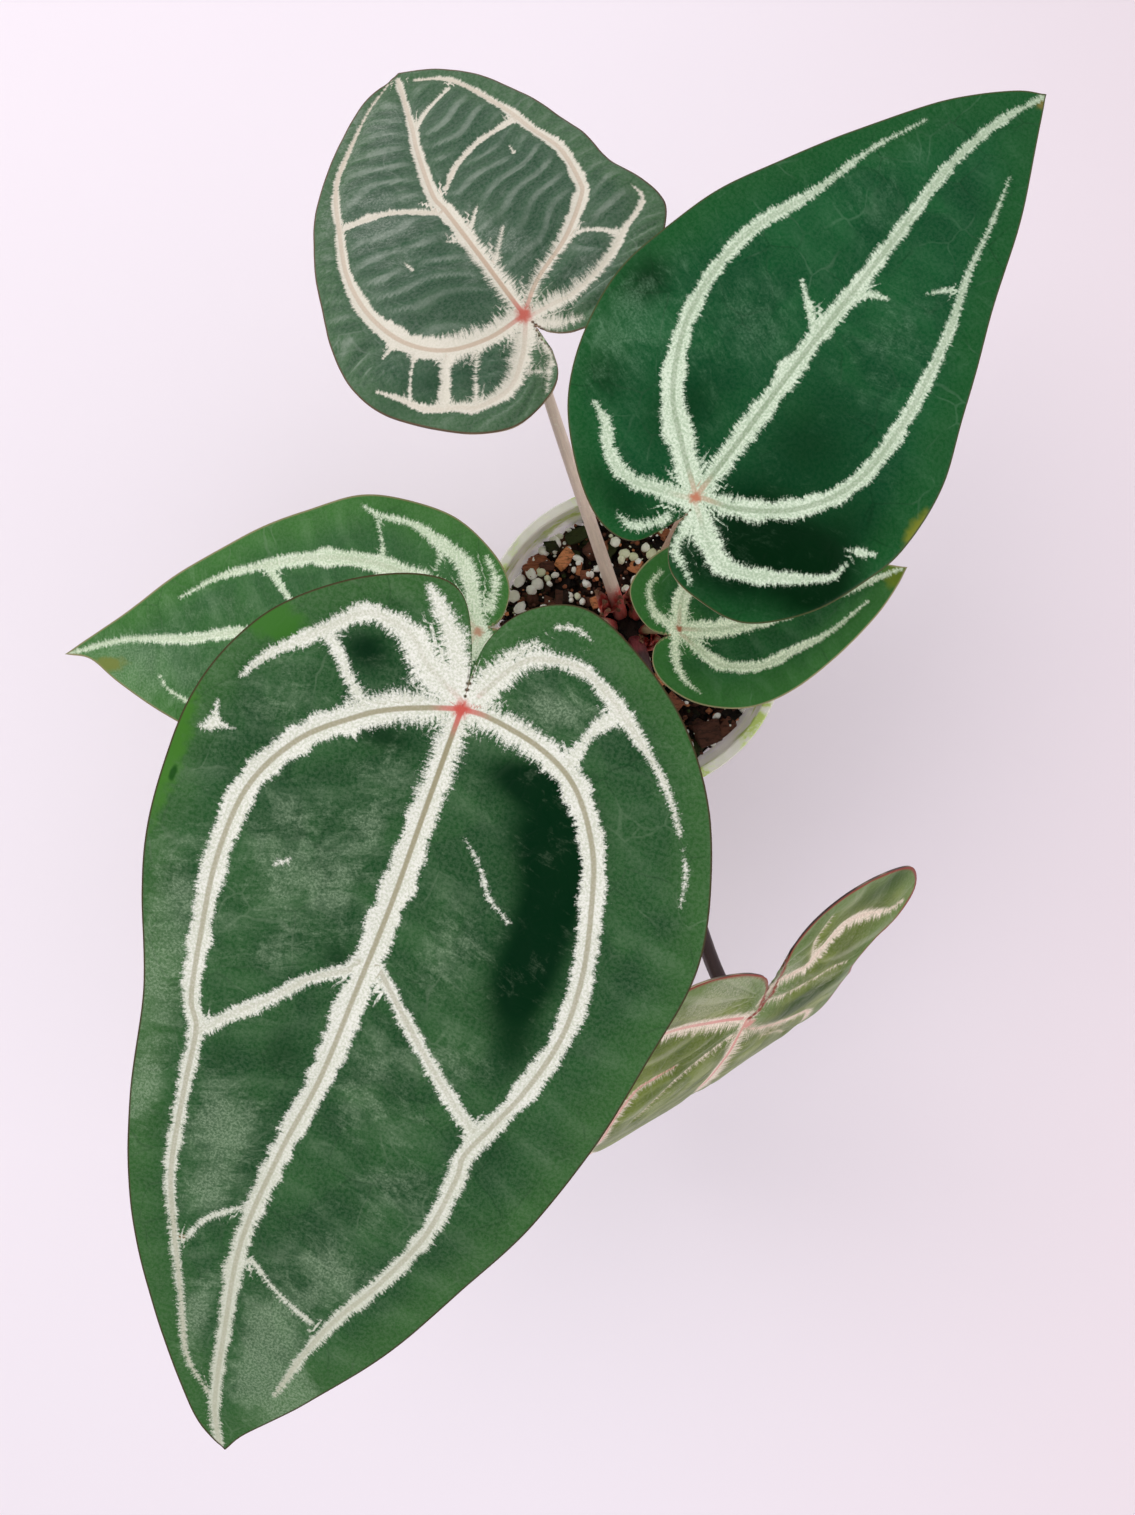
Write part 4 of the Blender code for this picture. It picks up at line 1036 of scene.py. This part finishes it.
def stalk_material(name, colours, length, sheath):
    """Smooth stalk whose colour changes from foot to joint, with long streaks and a darker side painted as
    shade.
    """
    made, tree, shader = new_material("stalk_" + name)
    uv = put(tree, "ShaderNodeUVMap", uv_map="stalk").outputs["UV"]
    split = put(tree, "ShaderNodeSeparateXYZ", {"Vector": uv})
    around, along = split.outputs[0], split.outputs[1]
    place = object_place(tree)
    foot, middle, joint = colours
    sheathed = calc(tree, "MULTIPLY_ADD", grain(tree, place, 240.0, 3.0), 0.06, along)
    colour = blend_colour(tree, fade(tree, sheathed, sheath, sheath + 0.06), foot, middle)
    colour = blend_colour(tree, fade(tree, along, length - 0.14, length - 0.03), colour, joint)
    # Painted shade: one side of the stalk is darker; the same darker colour draws the long streaks
    turned = calc(tree, "COSINE", calc(tree, "MULTIPLY", around, 2 * math.pi))
    shade = tuple(0.55 * value for value in middle)
    colour = blend_colour(tree, fade(tree, turned, 0.2, 1.0, 0.0, 0.55), colour, shade)
    streaks = put(tree, "ShaderNodeMapping", {"Vector": uv, "Scale": (7.0, 6.0, 1.0)}).outputs["Vector"]
    streaks = fade(tree, grain(tree, streaks, 3.0, 4.0, 0.6), 0.35, 0.7)
    colour = blend_colour(tree, calc(tree, "MULTIPLY", streaks, 0.30), colour, shade)
    freckles = fade(tree, grain(tree, place, 1500.0, 2.0), 0.60, 0.72)
    pale = tuple(min(1, 1.5 * value) for value in middle)
    colour = blend_colour(tree, calc(tree, "MULTIPLY", freckles, 0.25), colour, pale)
    dress(tree, shader, colour, 0.42, streaks, 0.3, 0.0002)
    return made


def make_petiole(name):
    petiole = PETIOLES[name]
    route = petiole_route(LEAVES[name], petiole, STALK_POINTS)
    length = sum((b - a).length for a, b in zip(route, route[1:])) * UV_UNIT
    radii = []
    for k, place in enumerate(route):
        to_joint = (route[-1] - place).length
        radius = petiole["foot"] + (petiole["top"] - petiole["foot"]) * k / (len(route) - 1)
        radii.append(radius * (1 + JOINT_SWELL * math.exp(-(to_joint / JOINT_LENGTH) ** 2)))
    mesh = tube("stalk_" + name, route, radii, STALK_SIDES, STALK_GROOVE)
    finish = stalk_material(name, petiole["colours"], length, petiole["sheathed"])
    stalk = link_mesh("stalk_" + name, mesh, finish)
    slot = "petiole_young" if name == "young" else "petiole"
    finish_piece(stalk, "petiole_" + name, slot=slot)


# Sheaths

def sheath_material():
    """Papery red scale with long fibres and pale pink painted highlights, browner and torn towards its tip.
    """
    made, tree, shader = new_material("red_sheath")
    uv = put(tree, "ShaderNodeUVMap", uv_map="sheath").outputs["UV"]
    along = put(tree, "ShaderNodeSeparateXYZ", {"Vector": uv}).outputs[1]
    fibres = put(tree, "ShaderNodeMapping", {"Vector": uv, "Scale": (14.0, 1.2, 1.0)}).outputs["Vector"]
    fibres = grain(tree, fibres, 3.0, 5.0, 0.65)
    colour = blend_colour(tree, fade(tree, fibres, 0.35, 0.65), (0.44, 0.030, 0.036), (0.92, 0.180, 0.160))
    place = object_place(tree)
    # Painted highlights: pale pink patches on the red
    patches = fade(tree, grain(tree, place, 190.0, 3.0), 0.50, 0.66)
    colour = blend_colour(tree, calc(tree, "MULTIPLY", patches, 0.7), colour, (0.92, 0.44, 0.38))
    brown = fade(tree, calc(tree, "MULTIPLY_ADD", fibres, 0.5, along), 0.95, 1.25)
    colour = blend_colour(tree, brown, colour, (0.22, 0.10, 0.05))
    dress(tree, shader, colour, 0.5, fibres, 0.8, 0.0004)
    return made


def sheath_strip(points, flat, faces, strip, draw, rows=26, columns=14):
    """One papery strip that stands on the mix beside the stem and leans out or in."""
    foot = COLLAR_FOOT + SEAT_GAP
    middle = math.radians(strip["bearing"])
    shift = draw.uniform(0, 50)
    first = len(points)
    for row in range(rows + 1):
        t = row / rows
        width = math.radians(strip["half_angle"]) * max(SHEATH_TIP, (1 - t ** 2.2) ** 0.8)
        radius = STEM_RADIUS + SEAT_GAP + SHEATH_THICKNESS / 2 + strip["lean"] * t ** 1.8
        width *= STEM_RADIUS / radius + 0.25 * t
        for column in range(columns + 1):
            share = 2 * column / columns - 1
            torn = 1 + 0.35 * t * noise.noise(Vector((shift, 9 * t, 2 * share)))
            angle = middle + width * share * torn
            crinkle = 0.9 * t * noise.noise(Vector((4 * share, 6 * t, shift)))
            out = radius + SHEATH_WAVE * t * math.sin(5 * share + 3 * t) + crinkle
            ragged = 1.6 * t * noise.noise(Vector((5 * share, shift, t)))
            points.append((
                (CROWN_X + out * math.cos(angle)) * MM,
                (CROWN_Y + out * math.sin(angle)) * MM,
                (foot + strip["height"] * t + ragged) * MM))
            flat.append((column / columns, t))
    for row in range(rows):
        for column in range(columns):
            a = first + row * (columns + 1) + column
            faces.append((a, a + 1, a + columns + 2, a + columns + 1))


def sheath_mesh(name):
    """A sheath with the shorter torn strips beside it."""
    sheath = SHEATHS[name]
    draw = random.Random(name)
    points, flat, faces = [], [], []
    sheath_strip(points, flat, faces, sheath, draw)
    for turn, share, lean in TORN_STRIPS:
        sheath_strip(points, flat, faces, {
            "bearing": sheath["bearing"] + turn, "half_angle": STRIP_HALF_ANGLE,
            "height": share * sheath["height"], "lean": lean}, draw)
    mesh = bpy.data.meshes.new("scale_" + name)
    mesh.from_pydata(points, [], faces)
    uv = mesh.uv_layers.new(name="sheath")
    for loop in mesh.loops:
        uv.data[loop.index].uv = flat[loop.vertex_index]
    mesh.shade_smooth()
    return mesh


def make_sheath(name, finish):
    scale = link_mesh("scale_" + name, sheath_mesh(name), finish)
    wall = scale.modifiers.new("Thickness", "SOLIDIFY")
    wall.thickness = PAPER_THICKNESS * MM
    wall.offset = 0.0
    apply_modifiers(scale)
    finish_piece(scale, "sheath_" + name, slot="sheath")


# Turned shapes, modelled ring by ring

def turned(name, profile, sides, finish, smooth_angle=30):
    """Closed shape of revolution, extruded ring by ring from a filled circle at its first point."""
    bpy.ops.object.select_all(action="DESELECT")
    radius, height = profile[0]
    bpy.ops.mesh.primitive_circle_add(
        vertices=sides, radius=radius * MM, fill_type="NGON", location=(0, 0, height * MM),
        enter_editmode=True)
    for next_radius, next_height in profile[1:]:
        bpy.ops.mesh.extrude_region_move(
            TRANSFORM_OT_translate={"value": (0, 0, (next_height - height) * MM)})
        scale = next_radius / radius
        bpy.ops.transform.resize(value=(scale, scale, 1), center_override=(0, 0, next_height * MM))
        radius, height = next_radius, next_height
    bpy.ops.mesh.select_all(action="SELECT")
    bpy.ops.mesh.normals_make_consistent(inside=False)
    bpy.ops.object.mode_set(mode="OBJECT")
    obj = bpy.context.active_object
    obj.name = obj.data.name = name
    bpy.ops.object.transform_apply(location=True, rotation=True, scale=True)
    bpy.ops.object.shade_smooth_by_angle(angle=math.radians(smooth_angle))
    obj.data.materials.append(finish)
    obj.select_set(False)
    return obj


def inner_radius(height):
    """Radius of the pot's inner wall at a height."""
    share = (height - FOOT_HEIGHT) / (POT_HEIGHT - LIP_DEPTH - FOOT_HEIGHT)
    outer = BASE_RADIUS + (RIM_RADIUS - LIP_WIDTH - BASE_RADIUS) * share
    return outer - POT_WALL


def clear_plastic():
    """Thin clear plastic, slightly milky, with yellow-green algae and lime streaks."""
    made, tree, shader = new_material("clear_pot")
    place = object_place(tree)
    height = put(tree, "ShaderNodeSeparateXYZ", {"Vector": place}).outputs[2]
    stretched = put(tree, "ShaderNodeMapping", {"Vector": place, "Scale": (1.0, 1.0, 3.0)}).outputs["Vector"]
    film = fade(tree, grain(tree, stretched, 55.0, 6.0, 0.7, 0.6), 0.46, 0.60)
    top = fade(tree, height, 0.060, 0.088)
    film = calc(tree, "MULTIPLY", film, calc(tree, "MULTIPLY_ADD", top, 0.5, 0.5))
    colour = blend_colour(tree, film, (0.96, 0.93, 0.84), (0.50, 0.62, 0.16))
    lime = fade(tree, grain(tree, place, 90.0, 4.0, 0.7), 0.52, 0.66)
    colour = blend_colour(tree, calc(tree, "MULTIPLY", lime, 0.6), colour, (0.90, 0.86, 0.76))
    tree.links.new(colour, shader.inputs["Base Color"])
    shader.inputs["Roughness"].default_value = 0.22
    shader.inputs["IOR"].default_value = 1.46
    alpha = calc(tree, "MULTIPLY_ADD", film, 0.40, 0.30)
    alpha = calc(tree, "MULTIPLY_ADD", fade(tree, height, 0.070, 0.084), 0.38, alpha)
    tree.links.new(alpha, shader.inputs["Alpha"])
    bump = put(tree, "ShaderNodeBump", {
        "Height": grain(tree, place, 260.0, 3.0), "Strength": 0.25, "Distance": 0.0003})
    tree.links.new(bump.outputs["Normal"], shader.inputs["Normal"])
    return made


def make_pot():
    shoulder = RIM_RADIUS - LIP_WIDTH
    inside = inner_radius(POT_HEIGHT)
    profile = [
        (FOOT_RADIUS, 0), (BASE_RADIUS - FOOT_BEVEL, FOOT_HEIGHT - FOOT_BEVEL), (BASE_RADIUS, FOOT_HEIGHT),
        (shoulder - 3.2, POT_HEIGHT - LIP_DEPTH - 24), (shoulder, POT_HEIGHT - LIP_DEPTH),
        (RIM_RADIUS - 0.3, POT_HEIGHT - LIP_DEPTH + 0.2), (RIM_RADIUS, POT_HEIGHT - LIP_DEPTH + LIP_SLOPE),
        (RIM_RADIUS, POT_HEIGHT - RIM_ROUNDING), (RIM_RADIUS - LIP_ROUNDING, POT_HEIGHT - LIP_ROUNDING),
        (RIM_RADIUS - RIM_ROUNDING, POT_HEIGHT), (inside + RIM_ROUNDING / 2, POT_HEIGHT),
        (inside, POT_HEIGHT - RIM_ROUNDING / 2), (inner_radius(FOOT_HEIGHT), FOOT_HEIGHT),
        (FOOT_RADIUS - POT_WALL, POT_FLOOR), (DRAIN_RING / 4, POT_FLOOR),
    ]
    pot = turned("clear_pot", profile, 128, clear_plastic())
    cutters = []
    for k in range(DRAIN_COUNT):
        angle = 2 * math.pi * k / DRAIN_COUNT
        bpy.ops.mesh.primitive_cylinder_add(
            vertices=32, radius=DRAIN_RADIUS * MM, depth=(POT_FLOOR + 2) * MM,
            location=(DRAIN_RING * math.cos(angle) * MM, DRAIN_RING * math.sin(angle) * MM,
                      POT_FLOOR / 2 * MM))
        cutter = bpy.context.active_object
        hole = pot.modifiers.new("Drain", "BOOLEAN")
        hole.operation = "DIFFERENCE"
        hole.solver = "EXACT"
        hole.object = cutter
        cutters.append(cutter)
    apply_modifiers(pot)
    for cutter in cutters:
        bpy.data.objects.remove(cutter, do_unlink=True)
    finish_piece(pot, "pot", slot="clear_plastic")


# Potting mix

def mix_height(radius):
    return MIX_LEVEL + MIX_MOUND * (1 - (radius / inner_radius(MIX_LEVEL)) ** 2)


def soil_material():
    """Dark fine crumbs between the chunks."""
    made, tree, shader = new_material("dark_crumbs")
    place = object_place(tree)
    crumbs = grain(tree, place, 420.0, 4.0, 0.7)
    colour = blend_colour(tree, fade(tree, crumbs, 0.35, 0.70), (0.003, 0.002, 0.002), (0.050, 0.022, 0.016))
    shader.inputs["Specular IOR Level"].default_value = 0.15
    dress(tree, shader, colour, 0.9, crumbs, 1.0, 0.0015)
    return made


def bark_material():
    """Bark chips: each has its own tone from near black through brown to orange, with grain."""
    made, tree, shader = new_material("bark")
    place = object_place(tree)
    tone = put(tree, "ShaderNodeAttribute", attribute_name="tone").outputs["Fac"]
    colour = blend_colour(tree, fade(tree, tone, 0.15, 0.55), (0.008, 0.004, 0.003), (0.120, 0.045, 0.030))
    colour = blend_colour(tree, fade(tree, tone, 0.05, 0.03), colour, (0.035, 0.045, 0.012))
    colour = blend_colour(tree, fade(tree, tone, 0.55, 0.80), colour, (0.330, 0.110, 0.055))
    colour = blend_colour(tree, fade(tree, tone, 0.85, 0.96), colour, (0.760, 0.290, 0.130))
    fibre = put(tree, "ShaderNodeMapping", {"Vector": place, "Scale": (1.0, 3.0, 1.0)}).outputs["Vector"]
    fibre = grain(tree, fibre, 330.0, 5.0, 0.7)
    colour = blend_colour(tree, fade(tree, fibre, 0.30, 0.55, 0.75, 0.0), colour, (0.012, 0.007, 0.005))
    shader.inputs["Specular IOR Level"].default_value = 0.25
    dress(tree, shader, colour, 0.8, fibre, 0.9, 0.0008)
    return made


def perlite_material():
    """White porous perlite, some of it stained yellow-green by algae."""
    made, tree, shader = new_material("perlite")
    place = object_place(tree)
    tone = put(tree, "ShaderNodeAttribute", attribute_name="tone").outputs["Fac"]
    white = blend_colour(tree, grain(tree, place, 500.0, 3.0), (0.86, 0.82, 0.78), (0.99, 0.98, 0.96))
    colour = blend_colour(tree, fade(tree, tone, 0.70, 1.0, 0.0, 0.75), white, (0.60, 0.62, 0.30))
    pores = cells(tree, place, 900.0, "F1").outputs["Distance"]
    dress(tree, shader, colour, 0.85, pores, 0.7, 0.0004)
    return made


def rough_shapes(add, sizes, first_seed, unevenness, worn_edge=0.0):
    """A basic solid in a few sizes, roughened, and with worn edges where a width is given."""
    shapes = []
    for seed, size in enumerate(sizes, first_seed):
        bpy.ops.object.select_all(action="DESELECT")
        add()
        bpy.ops.transform.resize(value=size)
        if worn_edge:
            bpy.ops.mesh.subdivide(number_cuts=1)
        bpy.ops.transform.vertex_random(offset=unevenness, seed=seed)
        if worn_edge:
            bpy.ops.mesh.select_all(action="SELECT")
            bpy.ops.mesh.bevel(offset=worn_edge, segments=1)
        bpy.ops.object.mode_set(mode="OBJECT")
        shapes.append(take_shape())
    return shapes


def add_block():
    bpy.ops.mesh.primitive_cube_add(size=1.0, enter_editmode=True)


def add_round_grain():
    bpy.ops.mesh.primitive_ico_sphere_add(subdivisions=2, radius=0.5, enter_editmode=True)


def add_crumb():
    bpy.ops.mesh.primitive_ico_sphere_add(subdivisions=1, radius=0.5, enter_editmode=True)


def take_shape():
    """Points and faces of the active object, which is then removed."""
    obj = bpy.context.active_object
    points = np.array([vertex.co[:] for vertex in obj.data.vertices])
    faces = [tuple(polygon.vertices) for polygon in obj.data.polygons]
    bpy.data.objects.remove(obj, do_unlink=True)
    return points, faces


class Heap:
    """Many small grains gathered into one mesh, each with its own tone."""

    def __init__(self):
        self.points, self.faces, self.tones, self.count = [], [], [], 0

    def add(self, shape, size, place, turn, tone):
        """Place one grain, moved inward where it would reach through the pot's wall."""
        points, faces = shape
        placed = points * size @ np.array(Euler(turn).to_matrix()).T + np.array(place, float)
        outward = np.array([place[0], place[1], 0.0])
        outward /= max(np.linalg.norm(outward), 1e-6)
        spare = inner_radius(placed[:, 2]) - WALL_GAP - np.linalg.norm(placed[:, :2], axis=1)
        if spare.min() < 0:
            placed += outward * spare.min() * 1.03
        self.points.append(placed * MM)
        self.faces.extend(tuple(corner + self.count for corner in face) for face in faces)
        self.tones.append(np.full(len(points), tone))
        self.count += len(points)

    def make(self, name, finish, smooth_angle):
        mesh = bpy.data.meshes.new(name)
        mesh.from_pydata(np.vstack(self.points).tolist(), [], self.faces)
        store(mesh, "tone", np.concatenate(self.tones))
        mesh.shade_smooth()
        mesh.set_sharp_from_angle(angle=math.radians(smooth_angle))
        return link_mesh(name, mesh, finish)


# Length, width and thickness of the bark chips, which are scaled to their size in mm when placed
CHIP_SIZES = ((1.3, 0.8, 0.5), (1.0, 0.9, 0.55), (1.6, 0.6, 0.4), (0.9, 0.7, 0.7))

# Perlite and bark seen in the pot: x and y in mm, size in mm, tone
SEEN_PERLITE = [
    (-26, 35, 4.8, 0.3), (-29, 31, 4.0, 0.2), (-33, 24, 4.6, 0.2), (-30, 24, 4.0, 0.9),
    (-37, 21, 4.4, 0.3),
    (-31, 20, 4.8, 0.4), (-33, 18, 4.2, 0.2), (-25, 23, 2.4, 0.1), (-27, 20, 2.0, 0.2),
    (-14, 23, 2.4, 0.3),
    (-13, 23, 2.2, 0.2), (-20, 16, 2.4, 0.2), (-16, 14, 2.6, 0.5), (-29, 12, 3.0, 0.2),
    (-37, 12, 4.2, 0.4),
    (-39, 16, 4.8, 0.8), (-9, 11, 3.2, 0.6), (-32, 28, 2.4, 0.1), (-17, 27, 2.6, 0.2),
    (-11, 25, 2.6, 0.3),
    (-5, 34, 4.0, 0.8), (-2, 30, 3.6, 0.9), (1, 29, 3.4, 0.95), (-3, 28, 3.0, 0.9), (5, 32, 3.4, 0.8),
    (7, 30, 3.8, 0.95), (2, 21, 4.8, 0.8), (-1, 18, 2.4, 0.5), (9, 0, 3.6, 0.95), (5, -6, 4.2, 0.9),
    (36, -29, 3.6, 0.2), (20, -34, 3.0, 0.3), (31, -37, 2.6, 0.6),
]
SEEN_BARK = [
    (-22, 28.5, 5.2, 0.97), (-35, 27, 5.6, 0.80), (-32, 29, 4.6, 0.75), (-11, 14, 4.2, 0.93),
    (9, -12, 7.0, 0.92),
    (26, -30, 8.0, 0.45), (31, -29, 6.0, 0.60), (36, -25, 5.5, 0.10), (-18, 36, 5.5, 0.02),
    (-14, 37, 4.0, 0.03),
    (14, -20, 6.0, 0.70), (-24, 15, 3.6, 0.40), (-17, 25, 2.6, 0.90), (-15, 23, 3.2, 0.70),
    (-28, 26, 4.0, 0.50),
]


def make_mix():
    """Dark fine mix with bark chips and perlite on top, and more pressed against the clear wall."""
    edge = inner_radius(MIX_LEVEL) - 1.6
    hole = STEM_RADIUS + SEAT_GAP
    profile = [
        (FOOT_RADIUS - POT_WALL - 2, POT_FLOOR + SEAT_GAP), (inner_radius(20) - 1.6, 20),
        (inner_radius(50) - 1.6, 50), (edge, MIX_LEVEL - 3), (36, mix_height(36) - 2),
        (24, mix_height(24) - 2),
        (hole + 3, mix_height(12) - 2.5), (hole, COLLAR_FOOT), (hole, STEM_FOOT - SEAT_GAP),
    ]
    base = turned("dark_mix", profile, 96, soil_material(), 60)
    shift = Vector((CROWN_X, CROWN_Y, 0)) * MM
    for vertex in base.data.vertices:
        place = vertex.co
        if math.hypot(place.x, place.y) < (hole + 4) * MM:
            vertex.co = place + shift
    finish_piece(base, "potting_mix", slot="potting_mix")

    draw = random.Random(7)
    chips = rough_shapes(add_block, CHIP_SIZES, 3, 0.16, worn_edge=0.05)
    grains = rough_shapes(add_round_grain, [(1.0 + 0.12 * k, 0.9, 0.8) for k in range(4)], 11, 0.06)
    crumbs = rough_shapes(add_crumb, [(1.0, 1.0, 1.0)] * 3, 23, 0.12)
    bark, perlite = Heap(), Heap()

    def any_turn():
        return tuple(draw.uniform(0, math.tau) for _ in range(3))

    def lying(tilt):
        return draw.uniform(-tilt, tilt), draw.uniform(-tilt, tilt), draw.uniform(0, math.tau)

    def on_top(spread):
        """Random place on top of the mix, clear of the crown."""
        while True:
            radius = spread * math.sqrt(draw.random())
            angle = draw.uniform(0, math.tau)
            x, y = radius * math.cos(angle), radius * math.sin(angle)
            if math.hypot(x - CROWN_X, y - CROWN_Y) > STEM_RADIUS + 4.5:
                return x, y, mix_height(radius)

    for x, y, size, tone in SEEN_BARK:
        turn = lying(0.3)
        bark.add(draw.choice(chips), size, (x, y, mix_height(math.hypot(x, y)) + 0.6), turn, tone)
    for x, y, size, tone in SEEN_PERLITE:
        height = mix_height(math.hypot(x, y)) + 0.7
        perlite.add(draw.choice(grains), size, (x, y, height), any_turn(), tone)
    for _ in range(BARK_COUNT):
        x, y, height = on_top(MIX_SPREAD)
        size = 1.8 + 4.2 * draw.random() ** 1.8
        turn = lying(0.6)
        tone = draw.random() ** 1.7 * 0.95
        bark.add(draw.choice(chips), size, (x, y, height - 1.2 - draw.random()), turn, tone)
    for _ in range(CRUMB_COUNT):
        x, y, height = on_top(MIX_SPREAD)
        size = draw.uniform(0.6, 1.8)
        shape, place = draw.choice(crumbs), (x, y, height - 0.6 + 0.8 * draw.random())
        bark.add(shape, size, place, any_turn(), draw.random() ** 1.5)
    for _ in range(PERLITE_COUNT):
        x, y, height = on_top(MIX_SPREAD)
        size = 0.6 + 2.4 * draw.random() ** 2.5
        shape, place = draw.choice(grains), (x, y, height + 0.2 * draw.random())
        perlite.add(shape, size, place, any_turn(), draw.random())
    for _ in range(WALL_GRAIN_COUNT):
        height = draw.uniform(9, MIX_LEVEL - 2)
        angle = draw.uniform(0, math.tau)
        radius = inner_radius(height) - 1.5
        place = (radius * math.cos(angle), radius * math.sin(angle), height)
        if draw.random() < PERLITE_AT_WALL:
            perlite.add(draw.choice(grains), draw.uniform(1.5, 4.5), place, any_turn(), draw.random())
        else:
            size = draw.uniform(3.0, 9.0)
            turn = (draw.uniform(-0.4, 0.4), math.pi / 2 + draw.uniform(-0.3, 0.3), angle)
            bark.add(draw.choice(chips), size, place, turn, draw.random() ** 1.4 * 0.95)
    finish_piece(bark.make("bark_chips", bark_material(), 35), slot="potting_mix")
    finish_piece(perlite.make("perlite_grains", perlite_material(), 60), slot="potting_mix")


# Stem

def stem_material():
    made, tree, shader = new_material("crown_stem")
    place = object_place(tree)
    tone = fade(tree, grain(tree, place, 260.0, 4.0), 0.35, 0.65)
    # Near-black: painted shade for the dark hollow at the crown
    colour = blend_colour(tree, tone, (0.004, 0.002, 0.002), (0.030, 0.014, 0.010))
    dress(tree, shader, colour, 0.75, tone, 0.8, 0.0006)
    return made


def make_stem():
    profile = [(STEM_RADIUS - 1.5, STEM_FOOT)]
    height = STEM_FOOT + 4.5
    while height < STEM_TOP - 3:
        profile.append((STEM_RADIUS, height))
        profile.append((STEM_RADIUS - 0.5, height + 1.5))
        height += 4.5
    profile += [(STEM_RADIUS, STEM_TOP - 1.0), (STEM_RADIUS - 1.0, STEM_TOP), (2.0, STEM_TOP - 0.6)]
    stem = turned("crown_stem", profile, 64, stem_material(), 50)
    stem.data.transform(Matrix.Translation((CROWN_X * MM, CROWN_Y * MM, 0)))
    finish_piece(stem, "stem", slot="stem")


# Floor and light

def make_stage():
    bpy.ops.object.select_all(action="DESELECT")
    bpy.ops.mesh.primitive_plane_add(size=4.0, location=(0, 0, -0.0002))
    floor = bpy.context.active_object
    floor.name = "floor"
    made, tree, shader = new_material("pale_floor")
    place = object_place(tree)
    # Painted shade: the floor grows darker towards +x, its edge broken by cloudy noise
    cloudy = grain(tree, place, 3.0, 3.0, 0.5)
    across = put(tree, "ShaderNodeSeparateXYZ", {"Vector": place}).outputs[0]
    shade = calc(tree, "MULTIPLY_ADD", cloudy, 0.10, across)
    colour = blend_colour(tree, fade(tree, shade, 0.0, 0.42), (0.90, 0.82, 0.89), (0.80, 0.69, 0.74))
    dress(tree, shader, colour, 0.9)
    shader.inputs["Specular IOR Level"].default_value = 0.1
    floor.data.materials.append(made)
    bpy.ops.object.transform_apply(location=True, rotation=True, scale=True)


def area_light(name, place, aim, size, power, colour=(1.0, 1.0, 1.0)):
    data = bpy.data.lights.new(name, "AREA")
    data.shape = "RECTANGLE"
    data.size, data.size_y = size
    data.energy = power
    data.color = colour
    light = bpy.data.objects.new(name, data)
    light.location = place
    light.rotation_euler = (Vector(aim) - Vector(place)).to_track_quat("-Z", "Y").to_euler()
    bpy.context.scene.collection.objects.link(light)


def make_light():
    """Soft white room with a wide window to the left and a ceiling that gives little sheen."""
    scene = bpy.context.scene
    scene.view_settings.view_transform = "Standard"
    world = bpy.data.worlds.new("soft_room")
    world.use_nodes = True
    tree = world.node_tree
    upward = put(tree, "ShaderNodeSeparateXYZ", {
        "Vector": put(tree, "ShaderNodeTexCoord").outputs["Generated"]}).outputs[2]
    room = tree.nodes["Background"]
    room.inputs["Color"].default_value = (0.97, 0.97, 1.0, 1.0)
    mirrored = put(tree, "ShaderNodeLightPath").outputs["Is Glossy Ray"]
    dimmed = calc(tree, "MULTIPLY", mirrored, fade(tree, upward, 0.72, 0.95))
    strength = calc(tree, "MULTIPLY_ADD", dimmed, CEILING_SHEEN - ROOM_LIGHT, ROOM_LIGHT)
    tree.links.new(strength, room.inputs["Strength"])
    scene.world = world
    area_light("window", (-0.60, 0.30, 0.90), (0, 0, 0.1), (0.7, 1.0), 5.0, (1.0, 0.98, 0.96))
    area_light("right_wall", (0.9, -0.4, 0.5), (0, 0, 0.1), (0.8, 0.8), 4.0, (1.0, 0.97, 0.99))


LEAF_SLOTS = {
    "front": "leaf_mature", "right": "leaf_dark", "back": "leaf_grey_green",
    "left": "leaf_mature", "small": "leaf_mature", "young": "leaf_young",
}

make_camera()
MARGIN = margin_material()
for leaf_name, leaf_slot in LEAF_SLOTS.items():
    make_leaf(leaf_name, leaf_slot)
    make_petiole(leaf_name)
RED_SHEATH = sheath_material()
for sheath_name in SHEATHS:
    make_sheath(sheath_name, RED_SHEATH)
make_pot()
make_mix()
make_stem()
make_stage()
make_light()
